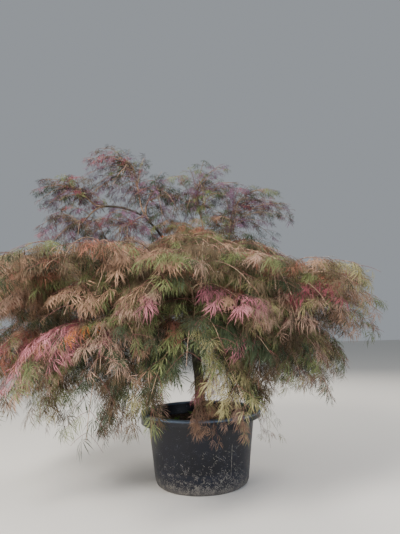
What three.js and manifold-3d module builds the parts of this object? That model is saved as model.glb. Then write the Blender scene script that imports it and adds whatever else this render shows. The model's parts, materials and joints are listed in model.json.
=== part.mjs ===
// A weeping, lace-leaved Japanese maple in a big round black nursery pot.
// Millimetres, +Z up. The origin is the middle of the pot's flat underside.
// +X runs to the right of the plant's front and +Y to its back.
import * as THREE from "three";
import { mergeVertices } from "three/addons/utils/BufferGeometryUtils.js";
import Module from "manifold-3d";

const wasm = await Module();
wasm.setup();

// Fits
const GAP = 0.3; // between pieces that touch
const CELL_GAP = 8; // between the spaces of two masses of foliage
const BEAD_STEP = 9; // between the spheres that stand for a limb in a test
const LIMB_CLEARANCE = 5; // from a leaf or twig to a limb that isn't its own

// Pot
const POT_HEIGHT = 420;
const POT_SIDES = 32;
const POT_WALL = 5;
const POT_FOOT_RADIUS = 285;
const POT_FOOT_ROUND = 16;
const POT_WALL_RADIUS = 339; // outside, under the rim
const RIM_RADIUS = 375;
const RIM_DEPTH = 32; // of the skirt that hangs from the rim
const RIM_ROUND = 6;
const GRIP_COUNT = 4;
const GRIP_AZIMUTH = 26; // degrees, of the first grip
const GRIP_ARC = 26; // degrees
const GRIP_DEPTH = 56; // of the rim's skirt at a grip
const GRIP_PROUD = 2; // outside the rim
const GRIP_WALL = 8;
const GRIP_SIDES = 6;

// Compost
const COMPOST_TOP = 350;
const COMPOST_MOUND = 6; // how much higher it lies at the trunk
const MOUND_RADIUS = 110;

// Trunk
const TRUNK_FOOT = COMPOST_TOP + COMPOST_MOUND + GAP;
const TRUNK_FORK = new THREE.Vector3(-28, -4, 800);
const TRUNK_BEND = 9; // sideways sway half-way up
const TRUNK_FOOT_RADIUS = 47;
const TRUNK_RADIUS = 31;
const TRUNK_FORK_RADIUS = 28;
const FLARE_SHARE = 0.16; // of the trunk's height that the root flare takes
const FLARE_LOBES = 5; // roots that show as ribs in the flare
const FLARE_RIB = 0.14;

// Crown: how far it reaches from the trunk, by azimuth (0 right, 90 back, 180 left, 270 front)
const REACH = 1120;
const REACH_LEAN = 210; // further out to the left
const REACH_OVAL = 120; // further out to both sides than to front and back
const LEAN_AZIMUTH = 190;
const SHOULDER_LIFT = 60; // the left shoulder stands higher
const LEFT_SAG = 70; // the left skirt hangs lower
const RIGHT_TUCK = 0.1; // share of the reach by which the right skirt stands further in
const CROWDING = 0.2; // the ring's boughs stand closer on the long side

// Limbs: radii at the foot and the tip
const LIMB_SIDES = 5;
const LIMB_STEPS = 4;
const ARM_RADII = [18, 12];
const BOUGH_RADII = [9.5, 6.5];
const HIGH_RADII = [10, 7];
const OUTER_RADII = [7, 6];
const STEM_RADII = [6.5, 6];
const TWIG_RADII = [3, 2.6]; // inside the stem's three sides at the foot
const FOOT_SINK = 8; // how deep a limb's foot is drawn into its parent before it is cut clear

// Ring of low boughs, each with a shoulder above it and a skirt below
const RING_COUNT = 9;
const RING_START = 0; // degrees
const ARM_REACH = 0.3; // shares of the reach
const BOUGH_REACH = 0.55;
const SHOULDER_REACH = 0.74;
const SKIRT_REACH = 0.67;
const DOME_REACH = 0.4;
const DOME_COUNT = 6;

// Leaves
const LEAF_LENGTH = 210; // each stands for a spray of real leaves about half as long
const LEAF_WIDTH = 100;
const LEAF_THICKNESS = 8;
const LEAF_WIDEST = 0.42; // share of its length from the root
const LEAF_FOOT = 9; // half the length of twig that a side leaf grows out of
const LEAF_SPACING = 0.38; // of its length, between the middles of two leaves
const WEEPING = 0.5; // how much a leaf hangs
const UPRIGHT = 0.1; // the same in the airy top
const SMALL = 0.68; // size of the leaves in the airy top
const LEAST_LEAVES = [4, 3, 2]; // on a twig: full twigs are placed first
const TWIG_TRIES = 34;
const TWIG_STRIDE = 11; // between one try and the next, so that the first are far apart
const SHORTEST_TWIG = 70;
const TWIG_STEPS = 2;
const TWIG_SHARES = [0.72, 0.62, 0.52, 0.42, 0.32]; // of the way to the edge, the longest first
const STEM_STEPS = 3;
const FIRST_TWIG = 0.42; // shares of the stem between which its twigs grow
const LAST_TWIG = 0.97;
const GOLDEN = 0.618; // spreads the twigs evenly between them
const EDGE_SHARE = 0.12; // how much wider than itself a leaf is when a line has to miss it
const SHELL = -0.25; // twigs that would run further than this back into the crown are left out

// Colours
const COLOUR = {
  pot: 0x1a1e27,
  compost: 0x33271e,
  bark: 0x4a3c35,
  reddish: 0x8a5a4c,
  crimson: 0x7b3f46,
  pink: 0xb8747a,
  tan: 0xa89470,
  olive: 0x6f6a45,
  green: 0x3c4a2c,
  purple: 0x6a4658,
};

const UP = new THREE.Vector3(0, 0, 1);
const DOWN = new THREE.Vector3(0, 0, -1);

function radians(degrees) {
  return (degrees * Math.PI) / 180;
}

function point(x, y, z) {
  return new THREE.Vector3(x, y, z);
}

// A direction along the ground at an azimuth.
function outward(azimuth) {
  return point(Math.cos(radians(azimuth)), Math.sin(radians(azimuth)), 0);
}

// A row of even random numbers from 0 to 1, the same for the same seed.
function seeded(seed) {
  let state = seed >>> 0;
  return () => {
    state = (state + 0x6d2b79f5) >>> 0;
    let mixed = Math.imul(state ^ (state >>> 15), state | 1);
    mixed = (mixed + Math.imul(mixed ^ (mixed >>> 7), mixed | 61)) ^ mixed;
    return ((mixed ^ (mixed >>> 14)) >>> 0) / 4294967296;
  };
}

// A closed geometry as a solid that can be joined and cut.
function solidOf(geometry) {
  const bare = geometry.clone();
  bare.deleteAttribute("normal");
  bare.deleteAttribute("uv");
  const merged = mergeVertices(bare, 1e-3);
  return new wasm.Manifold(
    new wasm.Mesh({
      numProp: 3,
      vertProperties: new Float32Array(merged.attributes.position.array),
      triVerts: new Uint32Array(merged.index.array),
    }),
  );
}

// The largest body of a solid, without the loose scraps that a cut leaves.
function largestBody(solid) {
  const bodies = solid.decompose();
  return bodies.reduce((best, body) => (body.volume() > best.volume() ? body : best));
}

function geometryOf(solid) {
  const mesh = solid.getMesh();
  const positions = new Float32Array(mesh.numVert * 3);
  for (let i = 0; i < mesh.numVert; i++) {
    const from = i * mesh.numProp;
    positions.set(mesh.vertProperties.subarray(from, from + 3), i * 3);
  }
  const geometry = new THREE.BufferGeometry();
  geometry.setAttribute("position", new THREE.BufferAttribute(positions, 3));
  geometry.setIndex(new THREE.BufferAttribute(new Uint32Array(mesh.triVerts), 1));
  geometry.computeVertexNormals();
  return geometry;
}

// How far the crown reaches at an azimuth.
function reachAt(azimuth) {
  const lean = REACH_LEAN * Math.cos(radians(azimuth - LEAN_AZIMUTH));
  return REACH + lean + REACH_OVAL * Math.cos(radians(2 * azimuth));
}

// A place in the crown by azimuth, share of the reach there, and height.
function crownPoint(azimuth, share, height) {
  return outward(azimuth).multiplyScalar(share * reachAt(azimuth)).setZ(height);
}

// The pot: a shell with a rolled rim, whose skirt is deeper at the hand grips.
function makePot() {
  const wallSlope = (POT_WALL_RADIUS - POT_FOOT_RADIUS) / POT_HEIGHT;
  const outerAt = (z) => POT_FOOT_RADIUS + wallSlope * z;
  const innerAt = (z) => outerAt(z) - POT_WALL;
  const skirtInside = RIM_RADIUS - POT_WALL;
  const underRim = POT_HEIGHT - POT_WALL;
  const profile = [
    [0, 0],
    [POT_FOOT_RADIUS - POT_FOOT_ROUND, 0],
    [outerAt(POT_FOOT_ROUND), POT_FOOT_ROUND],
    [outerAt(underRim), underRim],
    [skirtInside, underRim],
    [skirtInside, POT_HEIGHT - RIM_DEPTH],
    [RIM_RADIUS, POT_HEIGHT - RIM_DEPTH],
    [RIM_RADIUS, POT_HEIGHT - RIM_ROUND],
    [RIM_RADIUS - RIM_ROUND, POT_HEIGHT],
    [innerAt(POT_HEIGHT) + RIM_ROUND, POT_HEIGHT],
    [innerAt(POT_HEIGHT - RIM_ROUND), POT_HEIGHT - RIM_ROUND],
    [innerAt(POT_FOOT_ROUND), POT_FOOT_ROUND],
    [innerAt(0) - POT_FOOT_ROUND + POT_WALL, POT_WALL],
    [0, POT_WALL],
  ];
  let pot = solidOf(turned(profile));
  for (let i = 0; i < GRIP_COUNT; i++) {
    pot = pot.add(gripSolid(GRIP_AZIMUTH + (i * 360) / GRIP_COUNT));
  }
  return pot;
}

// A profile of radius and height turned about the Z axis.
function turned(profile) {
  const points = profile.map(([radius, z]) => new THREE.Vector2(radius, z));
  return new THREE.LatheGeometry(points, POT_SIDES).rotateX(Math.PI / 2);
}

// The deeper stretch of the rim's skirt that a hand takes hold of.
function gripSolid(azimuth) {
  const start = radians(azimuth - GRIP_ARC / 2);
  const arc = (radius) =>
    Array.from({ length: GRIP_SIDES + 1 }, (_, i) => {
      const angle = start + (radians(GRIP_ARC) * i) / GRIP_SIDES;
      return new THREE.Vector2(radius * Math.cos(angle), radius * Math.sin(angle));
    });
  const outside = arc(RIM_RADIUS + GRIP_PROUD);
  const inside = arc(RIM_RADIUS - GRIP_WALL);
  const shape = new THREE.Shape([...outside, ...inside.reverse()]);
  const depth = GRIP_DEPTH - RIM_ROUND;
  const grip = new THREE.ExtrudeGeometry(shape, { depth, bevelEnabled: false });
  return solidOf(grip.translate(0, 0, POT_HEIGHT - GRIP_DEPTH));
}

// The compost that fills the pot to a hand's breadth under its rim.
function makeCompost() {
  const wallSlope = (POT_WALL_RADIUS - POT_FOOT_RADIUS) / POT_HEIGHT;
  const edgeAt = (z) => POT_FOOT_RADIUS - POT_WALL - 2 * GAP + wallSlope * z;
  const floor = POT_WALL + GAP;
  const shore = COMPOST_TOP - COMPOST_MOUND;
  return solidOf(
    turned([
      [0, floor],
      [edgeAt(0) - POT_FOOT_ROUND, floor],
      [edgeAt(POT_FOOT_ROUND), POT_FOOT_ROUND + GAP],
      [edgeAt(shore), shore],
      [MOUND_RADIUS, COMPOST_TOP + COMPOST_MOUND],
      [0, COMPOST_TOP + COMPOST_MOUND],
    ]),
  );
}

// A limb along a curve: a cylinder whose rings are laid on the curve. radiusAt gives its radius
// by share of its length and angle round it. Grown by a gap, it cuts its neighbours clear.
function limbSolid(curve, radiusAt, sides, steps, grown = 0) {
  const geometry = new THREE.CylinderGeometry(1, 1, 1, sides, steps);
  const frames = curve.computeFrenetFrames(steps, false);
  const position = geometry.attributes.position;
  const spread = grown / Math.cos(Math.PI / sides);
  for (let i = 0; i < position.count; i++) {
    const x = position.getX(i);
    const z = position.getZ(i);
    const ring = Math.round((position.getY(i) + 0.5) * steps);
    const share = ring / steps;
    const centre = curve.getPointAt(share);
    if (ring === 0) centre.addScaledVector(frames.tangents[0], -grown);
    if (ring === steps) centre.addScaledVector(frames.tangents[steps], grown);
    const radius = radiusAt(share, Math.atan2(z, x)) + spread;
    centre.addScaledVector(frames.normals[ring], x * radius);
    centre.addScaledVector(frames.binormals[ring], -z * radius);
    position.setXYZ(i, centre.x, centre.y, centre.z);
  }
  return solidOf(geometry);
}

function taper([foot, tip]) {
  return (share) => foot + (tip - foot) * share;
}

// A limb's curve: it leaves along its parent, and arrives at a pitch above or below level.
function limbCurve(foot, direction, tip, pitch) {
  const span = tip.clone().sub(foot);
  const level = span.clone().setZ(0).normalize();
  const arrival = level.multiplyScalar(Math.cos(radians(pitch)));
  arrival.setZ(Math.sin(radians(pitch)));
  const pull = 0.36 * span.length();
  return new THREE.CubicBezierCurve3(
    foot,
    foot.clone().addScaledVector(direction, pull),
    tip.clone().addScaledVector(arrival, -pull),
    tip,
  );
}

const limbs = new Map();

// Spheres along a limb, close enough to stand for it when a leaf is tested against it.
function beads(curve, radiusAt) {
  const count = Math.ceil(curve.getLength() / BEAD_STEP);
  return Array.from({ length: count + 1 }, (_, i) => ({
    centre: curve.getPointAt(i / count),
    radius: radiusAt(i / count),
  }));
}

// Adds a limb or a stem that grows from the tip of its parent towards a tip of its own.
function addLimb(name, parentName, tip, pitch, radii, sides = LIMB_SIDES, steps = LIMB_STEPS) {
  const parent = limbs.get(parentName);
  const along = parent.curve.getTangentAt(1);
  const end = parent.curve.getPointAt(1);
  const aside = tip.clone().sub(end);
  aside.addScaledVector(along, -aside.dot(along));
  if (aside.length() > 1) aside.normalize();
  const offset = Math.max(0.5 * radii[0], 0.85 * (parent.tipRadius - radii[0]));
  const foot = end.addScaledVector(aside, offset).addScaledVector(along, -FOOT_SINK);
  const direction = along.clone().lerp(tip.clone().sub(foot).normalize(), 0.45).normalize();
  const curve = limbCurve(foot, direction, tip, pitch);
  const radiusAt = taper(radii);
  const cutters = [parent.grown, ...parent.children.map((child) => limbs.get(child).grown)];
  let solid = limbSolid(curve, radiusAt, sides, steps);
  for (const cutter of cutters) solid = solid.subtract(cutter);
  const limb = {
    name,
    curve,
    solid: largestBody(solid),
    cutters,
    siblings: parent.children,
    grown: limbSolid(curve, radiusAt, sides, steps, GAP),
    tipRadius: radii[1],
    children: [],
    beads: beads(curve, radiusAt),
  };
  parent.children.push(name);
  limbs.set(name, limb);
  return limb;
}

// The trunk: a root flare with ribs, a slight sway, and a taper up to the fork.
function addTrunk() {
  const foot = point(0, 0, TRUNK_FOOT);
  const middle = foot.clone().lerp(TRUNK_FORK, 0.5).add(point(TRUNK_BEND, 0, 0));
  const curve = new THREE.CatmullRomCurve3([foot, middle, TRUNK_FORK]);
  const radiusAt = (share, angle = 0) => {
    const flare = Math.max(0, 1 - share / FLARE_SHARE) ** 2;
    const rib = 1 + FLARE_RIB * flare * Math.cos(FLARE_LOBES * angle);
    const plain = TRUNK_RADIUS + (TRUNK_FORK_RADIUS - TRUNK_RADIUS) * share;
    return (plain + (TRUNK_FOOT_RADIUS - TRUNK_RADIUS) * flare) * rib;
  };
  const build = (grown) => limbSolid(curve, radiusAt, 12, 9, grown);
  const floor = solidOf(new THREE.BoxGeometry(400, 400, 100).translate(0, 0, TRUNK_FOOT - 50));
  limbs.set("trunk", {
    name: "trunk",
    curve,
    solid: build(0).subtract(floor),
    grown: build(GAP),
    tipRadius: TRUNK_FORK_RADIUS,
    children: [],
    beads: beads(curve, radiusAt),
  });
}

// The arms that the trunk forks into: name, azimuth, share of the reach and height of the tip.
const ARMS = [
  ["arm_left_front", 216, ARM_REACH, 1000],
  ["arm_left_back", 146, ARM_REACH, 1040],
  ["arm_right_back", 48, ARM_REACH, 1030],
  ["arm_right_front", 308, ARM_REACH, 990],
];
const LEADER_TIP = point(-30, 10, 1180);

// The azimuths of the ring's boughs, closer together on the crown's long side.
function ringAzimuths() {
  return Array.from({ length: RING_COUNT }, (_, i) => {
    const even = RING_START + (i * 360) / RING_COUNT;
    const shift = CROWDING * Math.sin(radians(even - LEAN_AZIMUTH));
    return (((even - (shift * 180) / Math.PI) % 360) + 360) % 360;
  });
}

function angleBetween(a, b) {
  return Math.abs(((a - b + 540) % 360) - 180);
}

function nearestArm(azimuth) {
  return ARMS.reduce((best, arm) =>
    angleBetween(arm[1], azimuth) < angleBetween(best[1], azimuth) ? arm : best,
  )[0];
}

// How much more the left side does of something than the right side, from -1 to 1.
function leftness(azimuth) {
  return Math.cos(radians(azimuth - LEAN_AZIMUTH));
}

const masses = [];

// How the leaves of each kind of mass grow: where its stem ends (share of the half height above
// the middle), the size and droop of its leaves, and the side (outward, upward) that it shows.
const HANGING = { heart: 0.3, face: [1, 0.1] };
const DOMED = { heart: 0.3, scale: 0.85, face: [0.5, 0.9] };
const TOPMOST = { heart: 0.2, scale: 0.66, droop: 0.3, face: [0, 1] };
const AIRY = { heart: 0.4, scale: SMALL, droop: UPRIGHT, face: [0.1, 0.2] };
const SPRAY = { heart: 0.2, scale: SMALL, face: [0.1, 0.1] };
const CURTAIN = { heart: 0.4, scale: 0.8, droop: 0.9, face: [0.5, 0] };

// A mass of foliage: the parent limb, the middle and half sizes of its space (across, outward,
// upward), where its stem ends, and how many leaves it has.
function addMass(name, parent, centre, half, leaves, colour, more = {}) {
  const { heart = 0.15, scale = 1, droop = WEEPING, face = [0.8, 0.6] } = more;
  const azimuth = (Math.atan2(centre.y, centre.x) * 180) / Math.PI;
  masses.push({
    name,
    parent,
    centre,
    half,
    leaves,
    colour,
    scale,
    droop,
    face: outward(azimuth).multiplyScalar(face[0]).setZ(face[1]),
    heart: centre.clone().add(point(0, 0, heart * half[2])),
    out: outward(azimuth),
    across: outward(azimuth + 90),
    weight: Math.min(...half) ** 2,
    seed: 1000 + 37 * masses.length,
  });
}

function layOutCrown() {
  for (const [name, azimuth, share, height] of ARMS) {
    addLimb(name, "trunk", crownPoint(azimuth, share, height), 18, ARM_RADII);
  }
  addLimb("leader", "trunk", LEADER_TIP, 80, ARM_RADII);
  ringAzimuths().forEach((azimuth, i) => {
    const reach = reachAt(azimuth);
    const left = Math.max(0, leftness(azimuth));
    const right = Math.max(0, -leftness(azimuth));
    const lift = SHOULDER_LIFT * leftness(azimuth);
    const bough = `bough_${i + 1}`;
    const tip = crownPoint(azimuth, BOUGH_REACH, 1030 + lift);
    addLimb(bough, nearestArm(azimuth), tip, 4, BOUGH_RADII);
    const shoulder = crownPoint(azimuth, SHOULDER_REACH, 1165 + lift);
    const shoulderHalf = [0.46 * reach, 0.35 * reach, 320];
    addMass(`shoulder_${i + 1}`, bough, shoulder, shoulderHalf, 16, COLOUR.pink);
    const skirtShare = SKIRT_REACH - RIGHT_TUCK * right;
    const skirt = crownPoint(azimuth, skirtShare, 835 - LEFT_SAG * left);
    const skirtHalf = [0.42 * reach, 0.31 * reach, 400];
    addMass(`skirt_${i + 1}`, bough, skirt, skirtHalf, 14, COLOUR.tan, HANGING);
  });
  addLimb("dome_bough_left", "leader", point(-190, -20, 1330), 25, BOUGH_RADII);
  addLimb("dome_bough_right", "leader", point(150, 0, 1320), 25, BOUGH_RADII);
  addLimb("high_bough", "leader", point(-345, 0, 1693), 50, HIGH_RADII);
  addLimb("crown_bough", "leader", point(60, 15, 1430), 75, BOUGH_RADII);
  addLimb("high_bough_outer", "high_bough", point(-660, 0, 1765), -4, OUTER_RADII);
  for (let i = 0; i < DOME_COUNT; i++) {
    const azimuth = 30 + (i * 360) / DOME_COUNT;
    const reach = reachAt(azimuth);
    const side = Math.cos(radians(azimuth)) < 0 ? "left" : "right";
    const centre = crownPoint(azimuth, DOME_REACH, 1375);
    const half = [0.38 * reach, 0.34 * reach, 300];
    addMass(`dome_${i + 1}`, `dome_bough_${side}`, centre, half, 16, COLOUR.reddish, DOMED);
  }
  const { crimson, green, olive, pink, purple, reddish, tan } = COLOUR;
  addMass("dome_top", "crown_bough", point(10, 20, 1520), [360, 360, 300], 14, reddish, TOPMOST);
  addMass("airy_middle", "crown_bough", point(70, 0, 1840), [250, 230, 270], 13, purple, AIRY);
  addMass("airy_right", "dome_bough_right", point(360, 10, 1710), [240, 240, 240], 14, green, AIRY);
  addMass("airy_left", "high_bough", point(-220, 20, 1790), [230, 230, 240], 15, purple, AIRY);
  addMass("high_elbow", "high_bough", point(-490, -50, 1570), [220, 230, 210], 10, crimson, SPRAY);
  addMass("high_spur", "high_bough", point(-525, 0, 2005), [200, 190, 270], 12, crimson, AIRY);
  addMass("high_tip", "high_bough_outer", point(-850, 0, 1850), [200, 200, 150], 10, purple, AIRY);
  addMass("high_droop", "high_bough_outer", point(-820, -10, 1610), [180, 190, 180], 10, pink, SPRAY);
  addMass("curtain_front", "arm_right_front", point(90, -460, 545), [230, 150, 310], 12, pink, CURTAIN);
  addMass("curtain_left", "arm_left_front", point(-440, -300, 540), [190, 170, 310], 12, olive, CURTAIN);
  addMass("curtain_right", "arm_right_back", point(480, 40, 450), [210, 200, 320], 8, tan, CURTAIN);
}

// True where a point lies in a mass's own space: in its oval, nearer to it than to any other
// mass, and clear of the pot.
function inSpace(mass, p) {
  const d = p.clone().sub(mass.centre);
  const across = d.dot(mass.across) / mass.half[0];
  const out = d.dot(mass.out) / mass.half[1];
  const up = d.z / mass.half[2];
  if (across ** 2 + out ** 2 + up ** 2 > 1) return false;
  if (p.z < POT_HEIGHT + 12 && Math.hypot(p.x, p.y) < RIM_RADIUS + 12) return false;
  const own = d.lengthSq() - mass.weight;
  return mass.others.every((other) => {
    const theirs = p.distanceToSquared(other.mass.centre) - other.mass.weight;
    return theirs - own > 2 * other.distance * (CELL_GAP / 2);
  });
}

// True where a flat rhombus (a leaf) or, with no width, a line (a twig) keeps clear of a bead.
function clearOf(bead, origin, along, side, length, width) {
  const d = bead.centre.clone().sub(origin);
  const half = length / 2;
  const x = Math.abs(d.dot(along) - half);
  const y = Math.abs(d.dot(side));
  const z = d.dot(d) - d.dot(along) ** 2 - d.dot(side) ** 2;
  const w = width / 2;
  const beyond = Math.max(0, (x * w + y * half - half * w) / Math.hypot(half, w));
  const least = bead.radius + BEAD_STEP / 2 + LIMB_CLEARANCE + LEAF_THICKNESS / 2;
  return beyond ** 2 + z > least ** 2;
}

// The beads of every limb and stem but a mass's own, near enough to its space to matter.
function strangers(mass) {
  const far = Math.max(...mass.half) + LEAF_LENGTH;
  return [...limbs.values()]
    .filter((limb) => limb.name !== mass.name)
    .flatMap((limb) => limb.beads)
    .filter((bead) => bead.centre.distanceTo(mass.centre) < far);
}

// A leaf from a place on a twig, hanging a little, with its face to the light.
function leafAt(mass, root, direction, random) {
  const along = direction.clone().addScaledVector(DOWN, mass.droop).normalize();
  const length = mass.scale * LEAF_LENGTH * (0.85 + 0.3 * random());
  const light = mass.face.clone().add(point(random() - 0.5, random() - 0.5, random() - 0.5));
  const side = light.cross(along).normalize();
  const normal = along.clone().cross(side).normalize();
  return { root, along, side, normal, length, width: (LEAF_WIDTH * length) / LEAF_LENGTH };
}

// Faces between two loops of as many points, both anticlockwise seen from the second.
function sleeve(faces, from, to) {
  from.forEach((a, i) => {
    const next = (i + 1) % from.length;
    faces.push(a, from[next], to[next], a, to[next], to[i]);
  });
}

// A spray as one closed surface: a three-sided twig that widens into a leaf at its end, and
// whose side faces open out into the other leaves, so that each is rooted in the twig.
function spraySolid({ twig, side, found }) {
  const length = twig.getLength();
  const vertices = [];
  const faces = [];
  const add = (p) => vertices.push(p) - 1;
  const offsets = [0];
  for (const place of new Set(found.filter((leaf) => leaf.lean).map((leaf) => leaf.place))) {
    offsets.push(place * length - LEAF_FOOT, place * length + LEAF_FOOT);
  }
  offsets.sort((a, b) => a - b).push(length);
  const rings = offsets.map((offset) => {
    const share = offset / length;
    return twigRing(twig, side, share).map(add);
  });
  faces.push(rings[0][0], rings[0][2], rings[0][1]);
  for (let k = 1; k < rings.length; k++) {
    for (let i = 0; i < 3; i++) {
      const [a, b] = [rings[k - 1], rings[k]];
      const quad = [a[i], a[(i + 1) % 3], b[(i + 1) % 3], b[i]];
      const middle = (offsets[k - 1] + offsets[k]) / (2 * length);
      const lean = [1, 0, -1][i];
      const leaf = found.find((l) => l.lean && l.lean === lean && Math.abs(l.place - middle) < 1e-6);
      if (leaf) openLeaf(vertices, faces, add, quad, leaf);
      else faces.push(quad[0], quad[1], quad[2], quad[0], quad[2], quad[3]);
    }
  }
  const last = rings.at(-1);
  const tipLeaf = found.find((leaf) => !leaf.lean);
  if (tipLeaf) {
    const { middle, along, side: across, normal, width, length: reach } = tipLeaf;
    const wide = [
      middle.clone().addScaledVector(normal, LEAF_THICKNESS / 2),
      middle.clone().addScaledVector(across, -width / 2),
      middle.clone().addScaledVector(across, width / 2),
    ].map(add);
    const tip = add(tipLeaf.root.clone().addScaledVector(along, reach));
    sleeve(faces, last, wide);
    wide.forEach((a, i) => faces.push(a, wide[(i + 1) % 3], tip));
  } else {
    faces.push(last[0], last[1], last[2]);
  }
  const geometry = new THREE.BufferGeometry().setFromPoints(vertices);
  geometry.setIndex(faces);
  return solidOf(geometry);
}

// The three corners of a twig's section: its ridge on top and an edge on either side.
function twigRing(twig, side, share) {
  const centre = twig.getPointAt(share);
  const upper = side.clone().cross(twig.getTangentAt(share)).normalize();
  const radius = taper(TWIG_RADII)(share);
  return [0, 120, 240].map((turn) =>
    centre
      .clone()
      .addScaledVector(upper, radius * Math.cos(radians(turn)))
      .addScaledVector(side, radius * Math.sin(radians(turn))),
  );
}

// A leaf that grows out of the four corners of a twig's side face.
function openLeaf(vertices, faces, add, quad, leaf) {
  const { middle, root, along, side, normal, width, length } = leaf;
  const wide = [
    middle.clone().addScaledVector(side, width / 2),
    middle.clone().addScaledVector(normal, LEAF_THICKNESS / 2),
    middle.clone().addScaledVector(side, -width / 2),
    middle.clone().addScaledVector(normal, -LEAF_THICKNESS / 2),
  ];
  const fit = (shift) =>
    quad.reduce((sum, corner, i) => {
      const spoke = vertices[corner].clone().sub(root);
      return sum + spoke.dot(wide[(i + shift) % 4].clone().sub(middle));
    }, 0);
  const shift = [0, 1, 2, 3].reduce((best, turn) => (fit(turn) > fit(best) ? turn : best));
  const loop = quad.map((_, i) => add(wide[(i + shift) % 4]));
  const tip = add(root.clone().addScaledVector(along, length));
  sleeve(faces, quad, loop);
  loop.forEach((a, i) => faces.push(a, loop[(i + 1) % 4], tip));
}

// True where the line from a to b passes through a leaf's blade or close by its edge.
function pierces(a, b, leaf) {
  const from = a.clone().sub(leaf.root);
  const to = b.clone().sub(leaf.root);
  const above = from.dot(leaf.normal);
  const below = to.dot(leaf.normal);
  if (above * below > 0) return false;
  const hit = from.lerp(to, above / (above - below));
  const x = Math.abs(hit.dot(leaf.along) / (leaf.length / 2) - 1);
  const y = Math.abs(hit.dot(leaf.side) / (leaf.width / 2));
  return x + y < 1 + EDGE_SHARE;
}

// The lines that stand for a leaf when it is tested against another: its edges and its rib.
function linesOf({ root, along, side, length, width }) {
  const at = (x, y) => root.clone().addScaledVector(along, x).addScaledVector(side, y);
  const [start, tip] = [at(0.08 * length, 0), at(length, 0)];
  const wide = LEAF_WIDEST * length;
  const [left, right] = [at(wide, width / 2), at(wide, -width / 2)];
  return [[start, left], [left, tip], [tip, right], [right, start], [start, tip], [left, right]];
}

function leafFits(leaf, mass, beadsNear, leaves, twigs) {
  const { root, along, side, length, width } = leaf;
  const lines = linesOf(leaf);
  const middle = root.clone().addScaledVector(along, LEAF_WIDEST * length);
  const corners = [middle, lines[1][0], lines[2][0], lines[3][0]];
  if (!corners.every((p) => inSpace(mass, p))) return false;
  for (const other of leaves) {
    if (other.middle.distanceTo(middle) < LEAF_SPACING * length) return false;
    if (lines.some(([a, b]) => pierces(a, b, other))) return false;
    if (other.lines.some(([a, b]) => pierces(a, b, leaf))) return false;
  }
  if (twigs.some(([a, b]) => pierces(a, b, leaf))) return false;
  leaf.middle = middle;
  leaf.lines = lines;
  return beadsNear.every((bead) => clearOf(bead, root, along, side, length, width));
}

// A point for a twig to end at, a share of the way from the middle of a mass's space to its
// edge. The golden angle spreads the points evenly, and none is far back into the crown.
function twigTarget(mass, index, share) {
  const up = 0.85 - (1.5 * (index + 0.5)) / TWIG_TRIES;
  const turn = index * Math.PI * (3 - Math.sqrt(5));
  const level = Math.sqrt(1 - up * up);
  const way = mass.across.clone().multiplyScalar(mass.half[0] * level * Math.cos(turn));
  way.addScaledVector(mass.out, mass.half[1] * level * Math.sin(turn));
  way.addScaledVector(UP, mass.half[2] * up);
  if (way.dot(mass.face) < SHELL * way.length()) return null;
  const target = mass.centre.clone().addScaledVector(way, share);
  return inSpace(mass, target) ? target : null;
}

// A point on the straight steps that a limb is made of.
function onSteps(curve, steps, share) {
  const step = Math.min(Math.floor(share * steps), steps - 1);
  const from = curve.getPointAt(step / steps);
  return from.lerp(curve.getPointAt((step + 1) / steps), share * steps - step);
}

// A twig from a place on the stem to its target: it rises a little and then hangs over.
function twigCurve(stem, share, target) {
  const foot = onSteps(stem, STEM_STEPS, share);
  const middle = foot.clone().lerp(target, 0.5);
  middle.z += 0.22 * foot.distanceTo(target);
  return new THREE.QuadraticBezierCurve3(foot, middle, target);
}

function twigFits(curve, mass, beadsNear) {
  const samples = curve.getSpacedPoints(8);
  if (!samples.slice(3).every((p) => inSpace(mass, p))) return false;
  return samples.slice(1).every((p) =>
    beadsNear.every((bead) => bead.centre.distanceTo(p) > bead.radius + 3 * BEAD_STEP),
  );
}

function segments(curve, steps) {
  const points = curve.getSpacedPoints(steps);
  return points.slice(1).map((p, i) => [points[i], p]);
}

// Where leaves stand on a twig: share of its length, and the side that they lean to.
const LEAF_PLACES = [
  [1, 0],
  [0.76, 1],
  [0.76, -1],
  [0.38, 1],
  [0.38, -1],
];

// A twig to a target with the leaves on it that fit, or null where too few do.
function growSpray(mass, twig, least, near, leaves, lines, random) {
  if (!twigFits(twig, mass, near)) return null;
  const own = segments(twig, TWIG_STEPS);
  if (leaves.some((leaf) => own.some(([a, b]) => pierces(a, b, leaf)))) return null;
  const chord = twig.getPointAt(1).sub(twig.getPointAt(0));
  const side = chord.cross(UP);
  if (side.length() < 1) side.copy(mass.across);
  side.normalize();
  const found = [];
  for (const [place, lean] of LEAF_PLACES) {
    const along = twig.getTangentAt(place);
    const upper = side.clone().cross(along);
    const direction = along.clone().multiplyScalar(lean ? 0.5 : 1);
    direction.addScaledVector(side, 0.8 * lean).addScaledVector(upper, lean ? 0.25 : 0);
    const root = twig.getPointAt(place);
    root.addScaledVector(side, 0.43 * TWIG_RADII[1] * lean);
    const leaf = leafAt(mass, root, direction.normalize(), random);
    if (!leafFits(leaf, mass, near, [...leaves, ...found], lines)) continue;
    found.push(Object.assign(leaf, { place, lean }));
  }
  return found.length < least ? null : { twig, side, own, found };
}

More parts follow.
